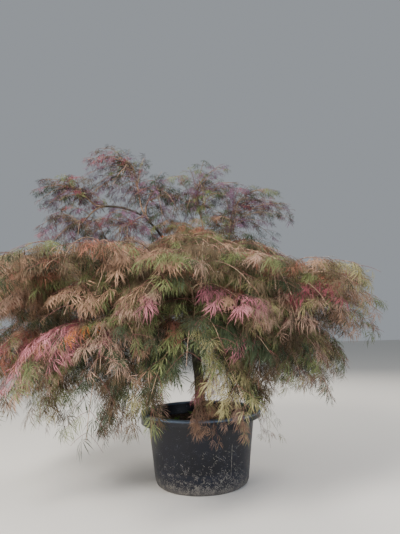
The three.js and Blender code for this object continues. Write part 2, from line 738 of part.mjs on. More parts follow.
// Fills a mass's space with twigs and leaves that grow from its stem, joined into one solid.
function growMass(mass) {
  const random = seeded(mass.seed);
  const stem = limbs.get(mass.name);
  const near = strangers(mass);
  const solids = [limbSolid(stem.curve, taper(STEM_RADII), 3, STEM_STEPS)];
  const leaves = [];
  const lines = segments(stem.curve, STEM_STEPS);
  for (const least of LEAST_LEAVES) {
    for (let i = 0; i < TWIG_TRIES && leaves.length < mass.leaves; i++) {
      const index = (i * TWIG_STRIDE) % TWIG_TRIES;
      for (const share of TWIG_SHARES) {
        const target = twigTarget(mass, index, share);
        if (!target) continue;
        const foot = FIRST_TWIG + (LAST_TWIG - FIRST_TWIG) * ((GOLDEN * solids.length) % 1);
        const twig = twigCurve(stem.curve, foot, target);
        if (twig.getLength() < SHORTEST_TWIG) continue;
        const spray = growSpray(mass, twig, least, near, leaves, lines, random);
        if (!spray) continue;
        leaves.push(...spray.found);
        lines.push(...spray.own);
        solids.push(spraySolid(spray));
        break;
      }
    }
  }
  let sprays = wasm.Manifold.union(solids.slice(1));
  for (const sibling of stem.siblings) {
    if (sibling !== mass.name) sprays = sprays.subtract(limbs.get(sibling).grown);
  }
  let body = solids[0].add(sprays);
  for (const cutter of stem.cutters) body = body.subtract(cutter);
  return largestBody(body);
}

// One named mesh of the finished plant.
function mesh(name, solid, color, roughness = 0.8, metalness = 0) {
  const material = new THREE.MeshStandardMaterial({ color, roughness, metalness });
  const made = new THREE.Mesh(geometryOf(solid), material);
  made.name = name;
  return made;
}

addTrunk();
layOutCrown();
for (const mass of masses) {
  mass.others = masses
    .filter((other) => other !== mass)
    .map((other) => ({ mass: other, distance: other.centre.distanceTo(mass.centre) }));
}

const plant = new THREE.Group();
plant.add(mesh("pot", makePot(), COLOUR.pot, 0.55));
plant.add(mesh("compost", makeCompost(), COLOUR.compost, 1));
for (const limb of limbs.values()) plant.add(mesh(limb.name, limb.solid, COLOUR.bark, 0.9));
for (const mass of masses) addLimb(mass.name, mass.parent, mass.heart, 5, STEM_RADII, 3, STEM_STEPS);
for (const mass of masses) plant.add(mesh(mass.name, growMass(mass), mass.colour, 0.7));

export default plant;
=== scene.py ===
# %% [markdown]
# # A weeping, lace-leaved garden tree in its nursery pot
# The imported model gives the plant's size, its limbs and the spaces that its foliage fills. This
# lesson dresses it: a moulded pot with mud on it, damp compost, bark with relief, and a crown of
# twigs and finely cut leaves that grow by one rule. Everything is in metres, +Z is up, and the
# origin is the middle of the pot's flat underside.

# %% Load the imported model
import json
import math

import bpy
import numpy as np
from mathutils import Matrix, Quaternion, Vector, noise

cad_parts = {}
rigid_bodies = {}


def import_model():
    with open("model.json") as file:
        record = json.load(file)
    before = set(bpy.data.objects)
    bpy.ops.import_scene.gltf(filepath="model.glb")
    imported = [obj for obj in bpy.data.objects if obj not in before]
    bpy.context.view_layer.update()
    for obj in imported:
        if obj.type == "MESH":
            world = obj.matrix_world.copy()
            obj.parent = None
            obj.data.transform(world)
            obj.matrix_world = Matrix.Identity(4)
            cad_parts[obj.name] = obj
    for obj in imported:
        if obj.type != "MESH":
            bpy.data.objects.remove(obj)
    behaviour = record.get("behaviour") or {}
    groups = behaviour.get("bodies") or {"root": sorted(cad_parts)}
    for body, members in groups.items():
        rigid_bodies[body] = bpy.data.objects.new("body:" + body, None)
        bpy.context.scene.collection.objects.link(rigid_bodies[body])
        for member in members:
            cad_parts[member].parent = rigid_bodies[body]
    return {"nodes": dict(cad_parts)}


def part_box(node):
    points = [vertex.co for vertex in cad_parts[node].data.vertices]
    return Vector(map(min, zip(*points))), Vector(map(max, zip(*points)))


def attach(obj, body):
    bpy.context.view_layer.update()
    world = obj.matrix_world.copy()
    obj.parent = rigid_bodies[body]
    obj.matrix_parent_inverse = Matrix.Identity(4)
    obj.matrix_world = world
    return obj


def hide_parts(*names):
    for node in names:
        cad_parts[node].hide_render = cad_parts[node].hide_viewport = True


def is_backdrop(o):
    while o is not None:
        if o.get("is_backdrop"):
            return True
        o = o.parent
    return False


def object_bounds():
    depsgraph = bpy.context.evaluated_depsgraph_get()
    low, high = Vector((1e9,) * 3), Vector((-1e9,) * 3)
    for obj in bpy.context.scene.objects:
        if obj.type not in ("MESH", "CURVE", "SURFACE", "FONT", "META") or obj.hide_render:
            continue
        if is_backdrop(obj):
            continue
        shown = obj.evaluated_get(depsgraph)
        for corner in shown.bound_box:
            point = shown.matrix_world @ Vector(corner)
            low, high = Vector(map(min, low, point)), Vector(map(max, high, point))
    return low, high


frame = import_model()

# Blender's vector noise starts from the clock unless it is given a seed
NOISE_SEED = 11
noise.seed_set(NOISE_SEED)
cad_low, cad_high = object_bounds()
print("nodes:", len(frame["nodes"]), "box:", [round(v, 3) for v in (*cad_low, *cad_high)])

# %% [markdown]
# ## Camera
# The photograph looks as if a phone was held at about waist height, tipped up a little and turned
# by a degree or two. Its focal length follows from the ellipse of the pot's rim. Blender could
# track the camera to a target, but a look direction and a roll say what the hand did.

# %% Camera at the photograph's place
PHOTO_HEIGHT = 534
FOCAL_PIXELS = 430
SENSOR = 36.0
CAMERA_PLACE = Vector((0.019, -2.83, 0.90))
CAMERA_PITCH = math.radians(8.7)
CAMERA_ROLL = math.radians(1.5)

camera_data = bpy.data.cameras.new("camera")
camera_data.sensor_width = SENSOR
camera_data.lens = FOCAL_PIXELS / PHOTO_HEIGHT * SENSOR
camera = bpy.data.objects.new("camera", camera_data)
look = Vector((0, math.cos(CAMERA_PITCH), math.sin(CAMERA_PITCH)))
camera.location = CAMERA_PLACE
camera.rotation_mode = "QUATERNION"
camera.rotation_quaternion = look.to_track_quat("-Z", "Y") @ Quaternion((0, 0, 1), -CAMERA_ROLL)
bpy.context.collection.objects.link(camera)
bpy.context.scene.camera = camera
print("lens:", round(camera_data.lens, 2), "mm")

# %% [markdown]
# ## Helpers
# Colours are written as the sRGB hex values that a colour picker shows, and shaders want linear
# light, so one function turns them. One more adds a shader node with its settings and its links,
# and one makes a mesh object from arrays, puts it on the frame's body and hides the parts that it
# replaces.


# %% Colours, shader nodes and mesh pieces
def linear(hex_colour):
    """An sRGB hex colour as linear red, green, blue and alpha."""
    channels = [int(hex_colour[i : i + 2], 16) / 255 for i in (1, 3, 5)]
    return [c / 12.92 if c <= 0.04045 else ((c + 0.055) / 1.055) ** 2.4 for c in channels] + [1.0]


def add(tree, kind, inputs=None, **settings):
    """Adds a shader node. An input is a value, or another node's output socket to link."""
    node = tree.nodes.new("ShaderNode" + kind)
    for name, value in settings.items():
        setattr(node, name, value)
    for name, value in (inputs or {}).items():
        if isinstance(value, bpy.types.NodeSocket):
            tree.links.new(value, node.inputs[name])
        else:
            node.inputs[name].default_value = value
    return node


def new_material(name):
    """An empty node material with its tree and output."""
    material = bpy.data.materials.new(name)
    material.use_nodes = True
    material.node_tree.nodes.clear()
    return material, material.node_tree


def finish_material(tree, shader):
    """Links a shader to the surface of its material."""
    add(tree, "OutputMaterial", {"Surface": shader.outputs[0]})


def unit(v):
    """Vectors along the last axis, at length 1."""
    return v / np.maximum(np.linalg.norm(v, axis=-1, keepdims=True), 1e-12)


def piece(name, points, faces, material, slot, replaced=(), smooth=True):
    """A mesh from arrays of points and of equal faces, on the frame's one body."""
    mesh = bpy.data.meshes.new(name)
    mesh.vertices.add(len(points))
    mesh.vertices.foreach_set("co", np.asarray(points, dtype=np.float32).ravel())
    mesh.loops.add(faces.size)
    mesh.loops.foreach_set("vertex_index", faces.astype(np.int32).ravel())
    mesh.polygons.add(len(faces))
    mesh.polygons.foreach_set("loop_start", np.arange(0, faces.size, faces.shape[1], dtype=np.int32))
    mesh.polygons.foreach_set("use_smooth", np.full(len(faces), smooth))
    mesh.update(calc_edges=True)
    mesh.materials.append(material)
    made = bpy.data.objects.new(name, mesh)
    bpy.context.collection.objects.link(made)
    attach(made, "root")
    if replaced:
        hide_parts(*replaced)
    return made


# %% [markdown]
# ## Floor and light
# A pale floor and large soft lamps show the plant without a scene round it. The key light stands
# high at the left and in front, as the sun did. A weak one fills the right, a low one reaches in
# under the crown, and one behind edges it. An even pale world fills the shadows.

# %% Floor, lamps and world
FLOOR_COLOUR = "#d9d6d0"
WORLD_COLOUR = "#dfe6ee"
WORLD_STRENGTH = 0.42
FLOOR_SIZE = 60
PAPER_GRAIN = 0.111
LAMP_AIM = Vector((0, 0, 1.0))
LAMPS = {
    # name: place, size in metres, power in watts, colour
    "key": ((-3.1, -4.5, 4.6), 2.0, 900, "#fffaf2"),
    "fill": ((4.2, -3.2, 2.6), 3.2, 170, "#e6edff"),
    "low": ((-3.2, -4.2, 1.4), 3.0, 60, "#f4f2ff"),
    "rim": ((1.5, 4.2, 4.6), 2.4, 260, "#fff8ee"),
}

floor_material, tree = new_material("studio_paper")
paper_grain = add(tree, "TexNoise", {"Scale": 1 / PAPER_GRAIN, "Detail": 4.0})
paper_bump = add(tree, "Bump", {"Strength": 0.04, "Height": paper_grain.outputs["Fac"]})
paper = {"Base Color": linear(FLOOR_COLOUR), "Roughness": 0.85, "Normal": paper_bump.outputs[0]}
finish_material(tree, add(tree, "BsdfPrincipled", paper))

bpy.ops.mesh.primitive_plane_add(size=FLOOR_SIZE, location=(0, 0, 0))
floor = bpy.context.object
floor.name = "floor"
floor.data.materials.append(floor_material)
floor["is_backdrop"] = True

for name, (place, size, power, colour) in LAMPS.items():
    lamp_data = bpy.data.lights.new(name, "AREA")
    lamp_data.size = size
    lamp_data.energy = power
    lamp_data.color = linear(colour)[:3]
    lamp = bpy.data.objects.new(name, lamp_data)
    lamp.location = place
    lamp.rotation_mode = "QUATERNION"
    lamp.rotation_quaternion = (LAMP_AIM - Vector(place)).to_track_quat("-Z", "Y")
    bpy.context.collection.objects.link(lamp)

world = bpy.data.worlds.new("studio")
world.use_nodes = True
background = world.node_tree.nodes["Background"]
background.inputs["Color"].default_value = linear(WORLD_COLOUR)
background.inputs["Strength"].default_value = WORLD_STRENGTH
bpy.context.scene.world = world
print("lamps:", list(LAMPS))

# %% [markdown]
# ## The plan of the crown
# The source lays the crown out by a rule, and it is written again here. The crown reaches further
# to the left than to the right. The trunk forks into four arms and a leader, nine boughs stand in
# a ring on the arms, and each bough carries a shoulder of foliage with a skirt hanging under it.
# A dome, a few airy sprays and one long high bough rise from the leader. All of it is worked out
# from the few sizes below, so a change of one moves everything that hangs on it.

# %% Sizes of the trunk and the crown
TRUNK_FOOT = np.array([0.0, 0.0, 0.3563])
TRUNK_FORK = np.array([-0.028, -0.004, 0.8])
TRUNK_BEND = 0.009
TRUNK_RADII = {"foot": 0.047, "plain": 0.031, "fork": 0.028}
# how far the crown reaches: on average, more towards its lean, and more at both sides
REACH = 1.12
REACH_LEAN = 0.21
REACH_OVAL = 0.12
LEAN_AZIMUTH = 190
# how the ring of masses is moved towards the lean or away from it
SHOULDER_LIFT = 0.06
LEFT_SAG = 0.07
RIGHT_TUCK = 0.1
CROWDING = 0.2
# how many masses stand in the ring and round the dome
RING_COUNT = 9
DOME_COUNT = 6
# where limbs and masses end, as shares of the reach
ARM_REACH = 0.3
BOUGH_REACH = 0.55
SHOULDER_REACH = 0.74
SKIRT_REACH = 0.67
DOME_REACH = 0.4
# their heights where the crown doesn't lean
BOUGH_HEIGHT = 1.03
SHOULDER_HEIGHT = 1.165
SKIRT_HEIGHT = 0.835
DOME_HEIGHT = 1.375
# how steeply limbs arrive at their tips, in degrees
ARM_PITCH = 18
LEADER_PITCH = 80
BOUGH_PITCH = 4
STEM_PITCH = 5
# half sizes of the masses: across and outward as shares of the reach, upward in metres
SHOULDER_SIZE = (0.46, 0.35, 0.32)
SKIRT_SIZE = (0.42, 0.31, 0.40)
DOME_SIZE = (0.38, 0.34, 0.30)
# radii of the limbs at foot and tip
ARM_RADII = (0.018, 0.012)
BOUGH_RADII = (0.0095, 0.0065)
HIGH_RADII = (0.010, 0.007)
OUTER_RADII = (0.007, 0.006)
STEM_RADII = (0.0062, 0.0034)
UP = np.array([0.0, 0.0, 1.0])


def outward(azimuth):
    """A direction along the ground: 0 is right, 90 back, 180 left and 270 front."""
    return np.array([math.cos(math.radians(azimuth)), math.sin(math.radians(azimuth)), 0.0])


def reach_at(azimuth):
    """How far the crown reaches at an azimuth."""
    lean = REACH_LEAN * math.cos(math.radians(azimuth - LEAN_AZIMUTH))
    return REACH + lean + REACH_OVAL * math.cos(math.radians(2 * azimuth))


def crown_point(azimuth, share, height):
    """A place in the crown by azimuth, share of the reach there, and height."""
    return outward(azimuth) * share * reach_at(azimuth) + UP * height


def lift_at(azimuth):
    """How much higher the shoulders stand at an azimuth. They rise towards the lean."""
    return SHOULDER_LIFT * math.cos(math.radians(azimuth - LEAN_AZIMUTH))


print("reach left and right:", round(reach_at(180), 2), round(reach_at(0), 2))

# %% [markdown]
# A limb is a Bézier curve. It leaves along its parent and arrives level, rising or falling as the
# real one does. Blender has curve objects for this, but plain points are easier to grow from.


# %% Curves and limbs
def bezier(control, t):
    """Points of a Bézier curve of any degree."""
    degree = len(control) - 1
    t = np.asarray(t)[:, None]
    weights = [math.comb(degree, i) * t**i * (1 - t) ** (degree - i) for i in range(degree + 1)]
    return sum(w * c for w, c in zip(weights, control))


def along_curve(control, shares):
    """Points at even shares of a curve's length."""
    fine_t = np.linspace(0, 1, 49)
    fine = bezier(control, fine_t)
    lengths = np.concatenate([[0], np.cumsum(np.linalg.norm(np.diff(fine, axis=0), axis=1))])
    return bezier(control, np.interp(np.asarray(shares) * lengths[-1], lengths, fine_t))


FOOT_SINK = 0.008
# shares of the parent's heading and of the way to the tip in a limb's first direction, and how
# long it keeps its directions
LEAVING = 0.55
TURNING = 0.45
PULL = 0.36

limbs = {}


def add_limb(name, parent, tip, pitch, radii):
    """A limb that grows on from the tip of its parent and ends at a pitch in degrees."""
    end, heading = limbs[parent]["control"][-1], limbs[parent]["heading"]
    aside = tip - end
    aside = unit(aside - np.dot(aside, heading) * heading)
    offset = max(0.5 * radii[0], 0.85 * (limbs[parent]["radii"][1] - radii[0]))
    foot = end + offset * aside - FOOT_SINK * heading
    direction = unit(heading * LEAVING + unit(tip - foot) * TURNING)
    span = tip - foot
    level = unit(span * [1, 1, 0])
    arrival = level * math.cos(math.radians(pitch)) + UP * math.sin(math.radians(pitch))
    pull = PULL * np.linalg.norm(span)
    control = [foot, foot + pull * direction, tip - pull * arrival, tip]
    limbs[name] = {"control": control, "radii": radii, "heading": arrival, "parent": parent}


trunk_middle = (TRUNK_FOOT + TRUNK_FORK) / 2 + [TRUNK_BEND, 0, 0]
limbs["trunk"] = {
    "control": [TRUNK_FOOT, 2 * trunk_middle - (TRUNK_FOOT + TRUNK_FORK) / 2, TRUNK_FORK],
    "radii": (TRUNK_RADII["plain"], TRUNK_RADII["fork"]),
    "heading": unit(TRUNK_FORK - trunk_middle),
    "parent": None,
}
print("trunk height:", round(float(TRUNK_FORK[2] - TRUNK_FOOT[2]), 3))

# %% [markdown]
# A mass of foliage is an oval space with a middle, three half sizes, a stem that runs into it
# from its bough, and a habit. The habits tell how leaves hang there and which side they show.

# %% Habits of the foliage and its masses
# heart: height of the stem's end as a share of the half height, droop: how far leaves hang,
# face: outward and upward, scale: of the shoots, leaf: length in metres, hem: how far leaves
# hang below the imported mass, twigs: how many a mass has at most
MASS_COLUMNS = ("heart", "droop", "face", "scale", "leaf", "hem", "twigs")
MASS_HABITS = {
    "shoulder": (0.15, 0.4, (0.8, 0.6), 1.0, 0.108, 0.2, 22),
    "skirt": (0.3, 0.6, (1.0, 0.1), 1.0, 0.108, 0.02, 18),
    "dome": (0.3, 0.35, (0.5, 0.9), 0.95, 0.105, 0.32, 21),
    "top": (0.2, 0.3, (0.0, 1.0), 0.9, 0.098, 0.0, 20),
    "airy": (0.4, 0.15, (0.1, 0.2), 0.62, 0.07, 0.0, 20),
    "spray": (0.2, 0.5, (0.1, 0.1), 0.65, 0.075, 0.03, 13),
    "curtain": (0.4, 0.9, (0.5, 0.0), 0.75, 0.09, 0.0, 9),
    "tassel": (0.4, 0.9, (0.5, 0.0), 0.8, 0.098, 0.0, 15),
}
# rise: how steeply shoots stand on a limb, from least to most, cover: sprays in open places
LIMB_COLUMNS = ("droop", "scale", "leaf", "rise")
LIMB_HABITS = {
    "bough": (0.5, 1.1, 0.108, (0.0, 0.8)),
    "high": (0.1, 0.5, 0.065, (0.0, 0.6)),
    "cover": (0.35, 1.0, 0.11),
}
HABITS = {name: dict(zip(MASS_COLUMNS, row)) for name, row in MASS_HABITS.items()}
HABITS.update({name: dict(zip(LIMB_COLUMNS, row)) for name, row in LIMB_HABITS.items()})
HANGING = ("curtain", "tassel")

masses = []


def add_mass(name, parent, centre, half, habit):
    """A mass of foliage: its half sizes are across, outward and upward."""
    centre = np.array(centre, dtype=float)
    azimuth = math.degrees(math.atan2(centre[1], centre[0]))
    kind = HABITS[habit]
    out = outward(azimuth)
    mass = {
        "name": name,
        "parent": parent,
        "habit": habit,
        "centre": centre,
        "half": np.array(half, dtype=float),
        "axes": np.array([outward(azimuth + 90), out, UP]),
        "face": out * kind["face"][0] + UP * kind["face"][1],
        "heart": centre + UP * kind["heart"] * half[2],
        "droop": kind["droop"],
        "scale": kind["scale"],
        "leaf": kind["leaf"],
        "weight": min(half) ** 2,
        "seed": 1000 + 37 * len(masses),
    }
    masses.append(mass)


print("habits:", list(HABITS))

# %% [markdown]
# Now the whole crown is laid out, limb by limb and mass by mass, with the sizes of the source.

# %% Lay out the limbs and the masses
ARMS = {
    # name: azimuth in degrees, height of the tip
    "arm_left_front": (216, 1.00),
    "arm_left_back": (146, 1.04),
    "arm_right_back": (48, 1.03),
    "arm_right_front": (308, 0.99),
}
LEADER_TIP = np.array([-0.03, 0.01, 1.18])
UPPER_BOUGHS = [
    # name, parent, tip, pitch there, radii
    ("dome_bough_left", "leader", (-0.19, -0.02, 1.33), 25, BOUGH_RADII),
    ("dome_bough_right", "leader", (0.15, 0.0, 1.32), 25, BOUGH_RADII),
    ("high_bough", "leader", (-0.345, 0.0, 1.693), 50, HIGH_RADII),
    ("crown_bough", "leader", (0.06, 0.015, 1.43), 75, BOUGH_RADII),
    ("high_bough_outer", "high_bough", (-0.66, 0.0, 1.765), -4, OUTER_RADII),
]
DOME_FIRST = 30
SINGLE_MASSES = [
    # name, parent, middle, half sizes, habit
    ("dome_top", "crown_bough", (0.01, 0.02, 1.52), (0.36, 0.36, 0.30), "top"),
    ("airy_middle", "crown_bough", (0.07, 0.0, 1.84), (0.25, 0.23, 0.27), "airy"),
    ("airy_right", "dome_bough_right", (0.36, 0.01, 1.71), (0.24, 0.24, 0.24), "airy"),
    ("airy_left", "high_bough", (-0.22, 0.02, 1.79), (0.23, 0.23, 0.24), "airy"),
    ("high_elbow", "high_bough", (-0.49, -0.05, 1.57), (0.22, 0.23, 0.21), "spray"),
    ("high_spur", "high_bough", (-0.525, 0.0, 2.005), (0.20, 0.19, 0.27), "airy"),
    ("high_tip", "high_bough_outer", (-0.85, 0.0, 1.85), (0.20, 0.20, 0.15), "airy"),
    ("high_droop", "high_bough_outer", (-0.82, -0.01, 1.61), (0.18, 0.19, 0.18), "spray"),
    ("curtain_front", "arm_right_front", (0.09, -0.46, 0.545), (0.23, 0.15, 0.31), "curtain"),
    ("curtain_left", "arm_left_front", (-0.44, -0.30, 0.54), (0.19, 0.17, 0.31), "tassel"),
    ("curtain_right", "arm_right_back", (0.48, 0.04, 0.45), (0.21, 0.20, 0.32), "curtain"),
]


def angle_between(a, b):
    """The smaller angle between two azimuths, in degrees."""
    return abs((a - b + 540) % 360 - 180)


def half_sizes(size, reach):
    """A mass's half sizes in metres, where the crown reaches that far."""
    return (size[0] * reach, size[1] * reach, size[2])


for name, (azimuth, height) in ARMS.items():
    add_limb(name, "trunk", crown_point(azimuth, ARM_REACH, height), ARM_PITCH, ARM_RADII)
add_limb("leader", "trunk", LEADER_TIP, LEADER_PITCH, ARM_RADII)

for i in range(RING_COUNT):
    even = i * 360 / RING_COUNT
    azimuth = (even - math.degrees(CROWDING * math.sin(math.radians(even - LEAN_AZIMUTH)))) % 360
    leftness = math.cos(math.radians(azimuth - LEAN_AZIMUTH))
    lift = lift_at(azimuth)
    reach = reach_at(azimuth)
    bough = f"bough_{i + 1}"
    arm = min(ARMS, key=lambda a: angle_between(ARMS[a][0], azimuth))
    add_limb(bough, arm, crown_point(azimuth, BOUGH_REACH, BOUGH_HEIGHT + lift), BOUGH_PITCH, BOUGH_RADII)
    shoulder = crown_point(azimuth, SHOULDER_REACH, SHOULDER_HEIGHT + lift)
    add_mass(f"shoulder_{i + 1}", bough, shoulder, half_sizes(SHOULDER_SIZE, reach), "shoulder")
    skirt_share = SKIRT_REACH - RIGHT_TUCK * max(0, -leftness)
    skirt = crown_point(azimuth, skirt_share, SKIRT_HEIGHT - LEFT_SAG * max(0, leftness))
    add_mass(f"skirt_{i + 1}", bough, skirt, half_sizes(SKIRT_SIZE, reach), "skirt")

for name, parent, tip, pitch, radii in UPPER_BOUGHS:
    add_limb(name, parent, np.array(tip), pitch, radii)

for i in range(DOME_COUNT):
    azimuth = DOME_FIRST + i * 360 / DOME_COUNT
    side = "left" if math.cos(math.radians(azimuth)) < 0 else "right"
    centre = crown_point(azimuth, DOME_REACH, DOME_HEIGHT)
    size = half_sizes(DOME_SIZE, reach_at(azimuth))
    add_mass(f"dome_{i + 1}", f"dome_bough_{side}", centre, size, "dome")

for single in SINGLE_MASSES:
    add_mass(*single)

BOUGHS = [name for name in limbs if name != "trunk"]
for mass in masses:
    add_limb(mass["name"], mass["parent"], mass["heart"], STEM_PITCH, STEM_RADII)
print("boughs:", len(BOUGHS), "masses:", len(masses))

# %% [markdown]
# ## Tubes
# Trunk, boughs, stems and twigs are all tubes along a path. A skin modifier could make them, but
# thousands of twigs need arrays. Each path has a ring of points at each of its places, turned to
# stand square on it, and a cone that closes it at either end.


# %% A tube for every path at once
def tubes(paths, radii, sides, relief=None):
    """Points and triangles of closed tubes. paths is (n, k, 3) and radii (n, k)."""
    count, steps = radii.shape
    tangents = unit(np.gradient(paths, axis=1))
    chord = paths[:, -1] - paths[:, 0]
    across = np.cross(chord, UP)
    across[np.linalg.norm(across, axis=1) < 1e-4] = [1.0, 0.0, 0.0]
    across = across[:, None, :] - (across[:, None, :] * tangents).sum(-1, keepdims=True) * tangents
    across = unit(across)
    upper = np.cross(across, tangents)
    angles = np.arange(sides) * 2 * math.pi / sides
    spokes = across[:, :, None] * np.cos(angles)[:, None] + upper[:, :, None] * np.sin(angles)[:, None]
    size = np.repeat(radii[:, :, None], sides, axis=2)
    if relief is not None:
        size = size + relief(paths, radii, angles)
    rings = paths[:, :, None] + spokes * size[..., None]
    points = rings.reshape(count, steps * sides, 3)
    tips = paths[:, -1] + tangents[:, -1] * radii[:, -1:]
    feet = paths[:, 0] - tangents[:, 0] * radii[:, :1] * 0.3
    points = np.concatenate([points, feet[:, None], tips[:, None]], axis=1)
    ring = np.arange(sides)
    beside = (ring + 1) % sides
    faces = []
    for k in range(steps - 1):
        low, high = k * sides, (k + 1) * sides
        faces += [np.stack([low + ring, low + beside, high + beside], 1)]
        faces += [np.stack([low + ring, high + beside, high + ring], 1)]
    foot, tip, last = steps * sides, steps * sides + 1, (steps - 1) * sides
    faces += [np.stack([np.full(sides, foot), beside, ring], 1)]
    faces += [np.stack([np.full(sides, tip), last + ring, last + beside], 1)]
    pattern = np.concatenate(faces)
    offsets = np.arange(count)[:, None, None] * points.shape[1]
    return points.reshape(-1, 3), (pattern[None] + offsets).reshape(-1, 3)


def joined(parts):
    """One list of points and faces from several."""
    points, faces, start = [], [], 0
    for some_points, some_faces in parts:
        points.append(some_points)
        faces.append(some_faces + start)
        start += len(some_points)
    return np.concatenate(points), np.concatenate(faces)


straight = np.arange(6.0)[None, :, None] * UP
print("triangles of a three-sided twig of six places:", len(tubes(straight, np.ones((1, 6)), 3)[1]))

# %% [markdown]
# ## Bark
# The trunk of an old grafted plant of this kind is smooth between shallow furrows that run up it,
# dark where it is damp, with a grey-green film in patches. The furrows are real relief in the
# mesh. The shader adds the fine grain, which is too small for it.

# %% Bark material
FURROW_SPACING = 0.011
FURROW_STRETCH = 0.22
BARK_GRAIN = 0.00238
MOSS_PATCH = 0.0714
MOSS_COVER = 0.6


def bark(name, light, dark, moss):
    """Bark with furrows that run up the limb. The three colours are hex values."""
    material, tree = new_material(name)
    place = add(tree, "TexCoord").outputs["Object"]
    stretched = add(tree, "Mapping", {"Vector": place, "Scale": (1.0, 1.0, FURROW_STRETCH)})
    noises = {"Vector": stretched.outputs[0], "Scale": 1 / FURROW_SPACING, "Detail": 5.0, "Roughness": 0.6}
    furrows = add(tree, "TexNoise", noises).outputs["Fac"]
    grain = add(tree, "TexNoise", {"Vector": place, "Scale": 1 / BARK_GRAIN, "Detail": 3.0})
    patches = add(tree, "TexNoise", {"Vector": place, "Scale": 1 / MOSS_PATCH, "Detail": 4.0})
    ridges = add(tree, "MapRange", {"Value": furrows, "From Min": 0.35, "From Max": 0.65})
    body = {0: ridges.outputs[0], 6: linear(dark), 7: linear(light)}
    body = add(tree, "Mix", body, data_type="RGBA")
    growth = add(tree, "MapRange", {"Value": patches.outputs["Fac"], "From Min": 0.54, "From Max": 0.7})
    film = add(tree, "Math", {0: growth.outputs[0], 1: MOSS_COVER}, operation="MULTIPLY")
    mossy = {0: film.outputs[0], 6: body.outputs[2], 7: linear(moss)}
    mossy = add(tree, "Mix", mossy, data_type="RGBA")
    height = add(tree, "Math", {0: furrows, 1: grain.outputs["Fac"]}, operation="ADD")
    bump = add(tree, "Bump", {"Strength": 0.5, "Distance": 0.002, "Height": height.outputs[0]})
    wear = {"Value": furrows, "From Min": 0.3, "From Max": 0.7, "To Min": 0.92, "To Max": 0.7}
    rough = add(tree, "MapRange", wear)
    shader = {"Base Color": mossy.outputs[2], "Roughness": rough.outputs[0], "IOR": 1.45}
    shader["Normal"] = bump.outputs[0]
    finish_material(tree, add(tree, "BsdfPrincipled", shader))
    return material


old_bark = bark("old_bark", "#3d332e", "#1d1716", "#43472f")
young_bark = bark("young_bark", "#a98c74", "#5e4639", "#7d7a62")
shoot_skin = bark("shoot_skin", "#7c4a44", "#4c2b2c", "#8a6a55")
print("bark materials:", old_bark.name, young_bark.name, shoot_skin.name)

# %% [markdown]
# The trunk's tube is thick enough to carry its own relief: ribs of the roots at the foot, furrows,
# and the healed rings of side shoots that were cut off in the nursery.

# %% Trunk with a root flare
TRUNK_STEPS = 110
TRUNK_SIDES = 72
FLARE_SHARE = 0.16
FLARE_LOBES = 5
FLARE_RIB = 0.14
FURROW_DEPTH = 0.0016
SWELL_DEPTH = 0.0022
# of each scar: share of the trunk's height, azimuth, and how far its ring stands out
SCARS = [(0.34, 250, 0.007), (0.58, 200, 0.006), (0.72, 320, 0.006), (0.47, 80, 0.006)]


def trunk_relief(paths, radii, angles):
    """How far the trunk's skin stands in or out of a plain tube."""
    steps = radii.shape[1]
    relief = np.zeros((1, steps, len(angles)))
    for k in range(steps):
        share = k / (steps - 1)
        flare = max(0.0, 1 - share / FLARE_SHARE) ** 2
        for j, angle in enumerate(angles):
            rib = FLARE_RIB * flare * math.cos(FLARE_LOBES * angle) * radii[0, k]
            spot = Vector((math.cos(angle) * 2.6, math.sin(angle) * 2.6, share * 5))
            furrow = FURROW_DEPTH * noise.fractal(spot * 2.2, 1.0, 2.0, 4)
            swell = SWELL_DEPTH * noise.noise(spot * 0.6)
            scar = 0.0
            for at, azimuth, height in SCARS:
                apart = math.hypot((share - at) * 9, angle_between(math.degrees(angle), azimuth) / 26)
                scar += height * math.exp(-(apart**2) * 2) - 0.5 * height * math.exp(-(apart**2) * 12)
            relief[0, k, j] = rib + furrow + swell + scar
    return relief


shares = np.linspace(0, 1, TRUNK_STEPS)
flares = np.maximum(0, 1 - shares / FLARE_SHARE) ** 2
trunk_radii = TRUNK_RADII["plain"] + (TRUNK_RADII["fork"] - TRUNK_RADII["plain"]) * shares
trunk_radii = trunk_radii + (TRUNK_RADII["foot"] - TRUNK_RADII["plain"]) * flares
trunk_path = along_curve(limbs["trunk"]["control"], shares)
trunk_points, trunk_faces = tubes(trunk_path[None], trunk_radii[None], TRUNK_SIDES, trunk_relief)
piece("trunk_bark", trunk_points, trunk_faces, old_bark, "bark", ["trunk"])
print("trunk triangles:", len(trunk_faces))

# %% [markdown]
# Each bough starts inside the end of the limb that it grows from, so that the fork closes, and it
# wanders a little, as a bough does that was bent by the weight of its own crown.

# %% Boughs
BOUGH_STEPS = 34
BOUGH_SIDES = 12
FORK_DEPTH = 0.03
WANDER = 0.012
KNUCKLE = 0.16


def limb_path(name, steps):
    """A limb's path with its foot carried back into its parent."""
    limb = limbs[name]
    path = along_curve(limb["control"], np.linspace(0, 1, steps - 1))
    back = path[0] - FORK_DEPTH * limbs[limb["parent"]]["heading"]
    path = np.concatenate([[back], path])
    length = np.linalg.norm(path[-1] - path[0])
    for k in range(steps):
        share = k / (steps - 1)
        still = math.sin(math.pi * share) ** 0.5 if 0 < share < 1 else 0.0
        wander = noise.noise_vector(Vector(path[k]) * 7.0)
        path[k] += np.array(wander) * WANDER * still * min(1.0, length)
    return path


def bough_relief(paths, radii, angles):
    """Knuckles and shallow furrows along the boughs."""
    relief = np.zeros((*radii.shape, len(angles)))
    for i in range(radii.shape[0]):
        for k in range(radii.shape[1]):
            for j, angle in enumerate(angles):
                spot = Vector(paths[i, k]) * 22 + Vector((math.cos(angle), math.sin(angle), 0)) * 0.7
                relief[i, k, j] = radii[i, k] * KNUCKLE * noise.fractal(spot, 1.0, 2.0, 3)
    return relief


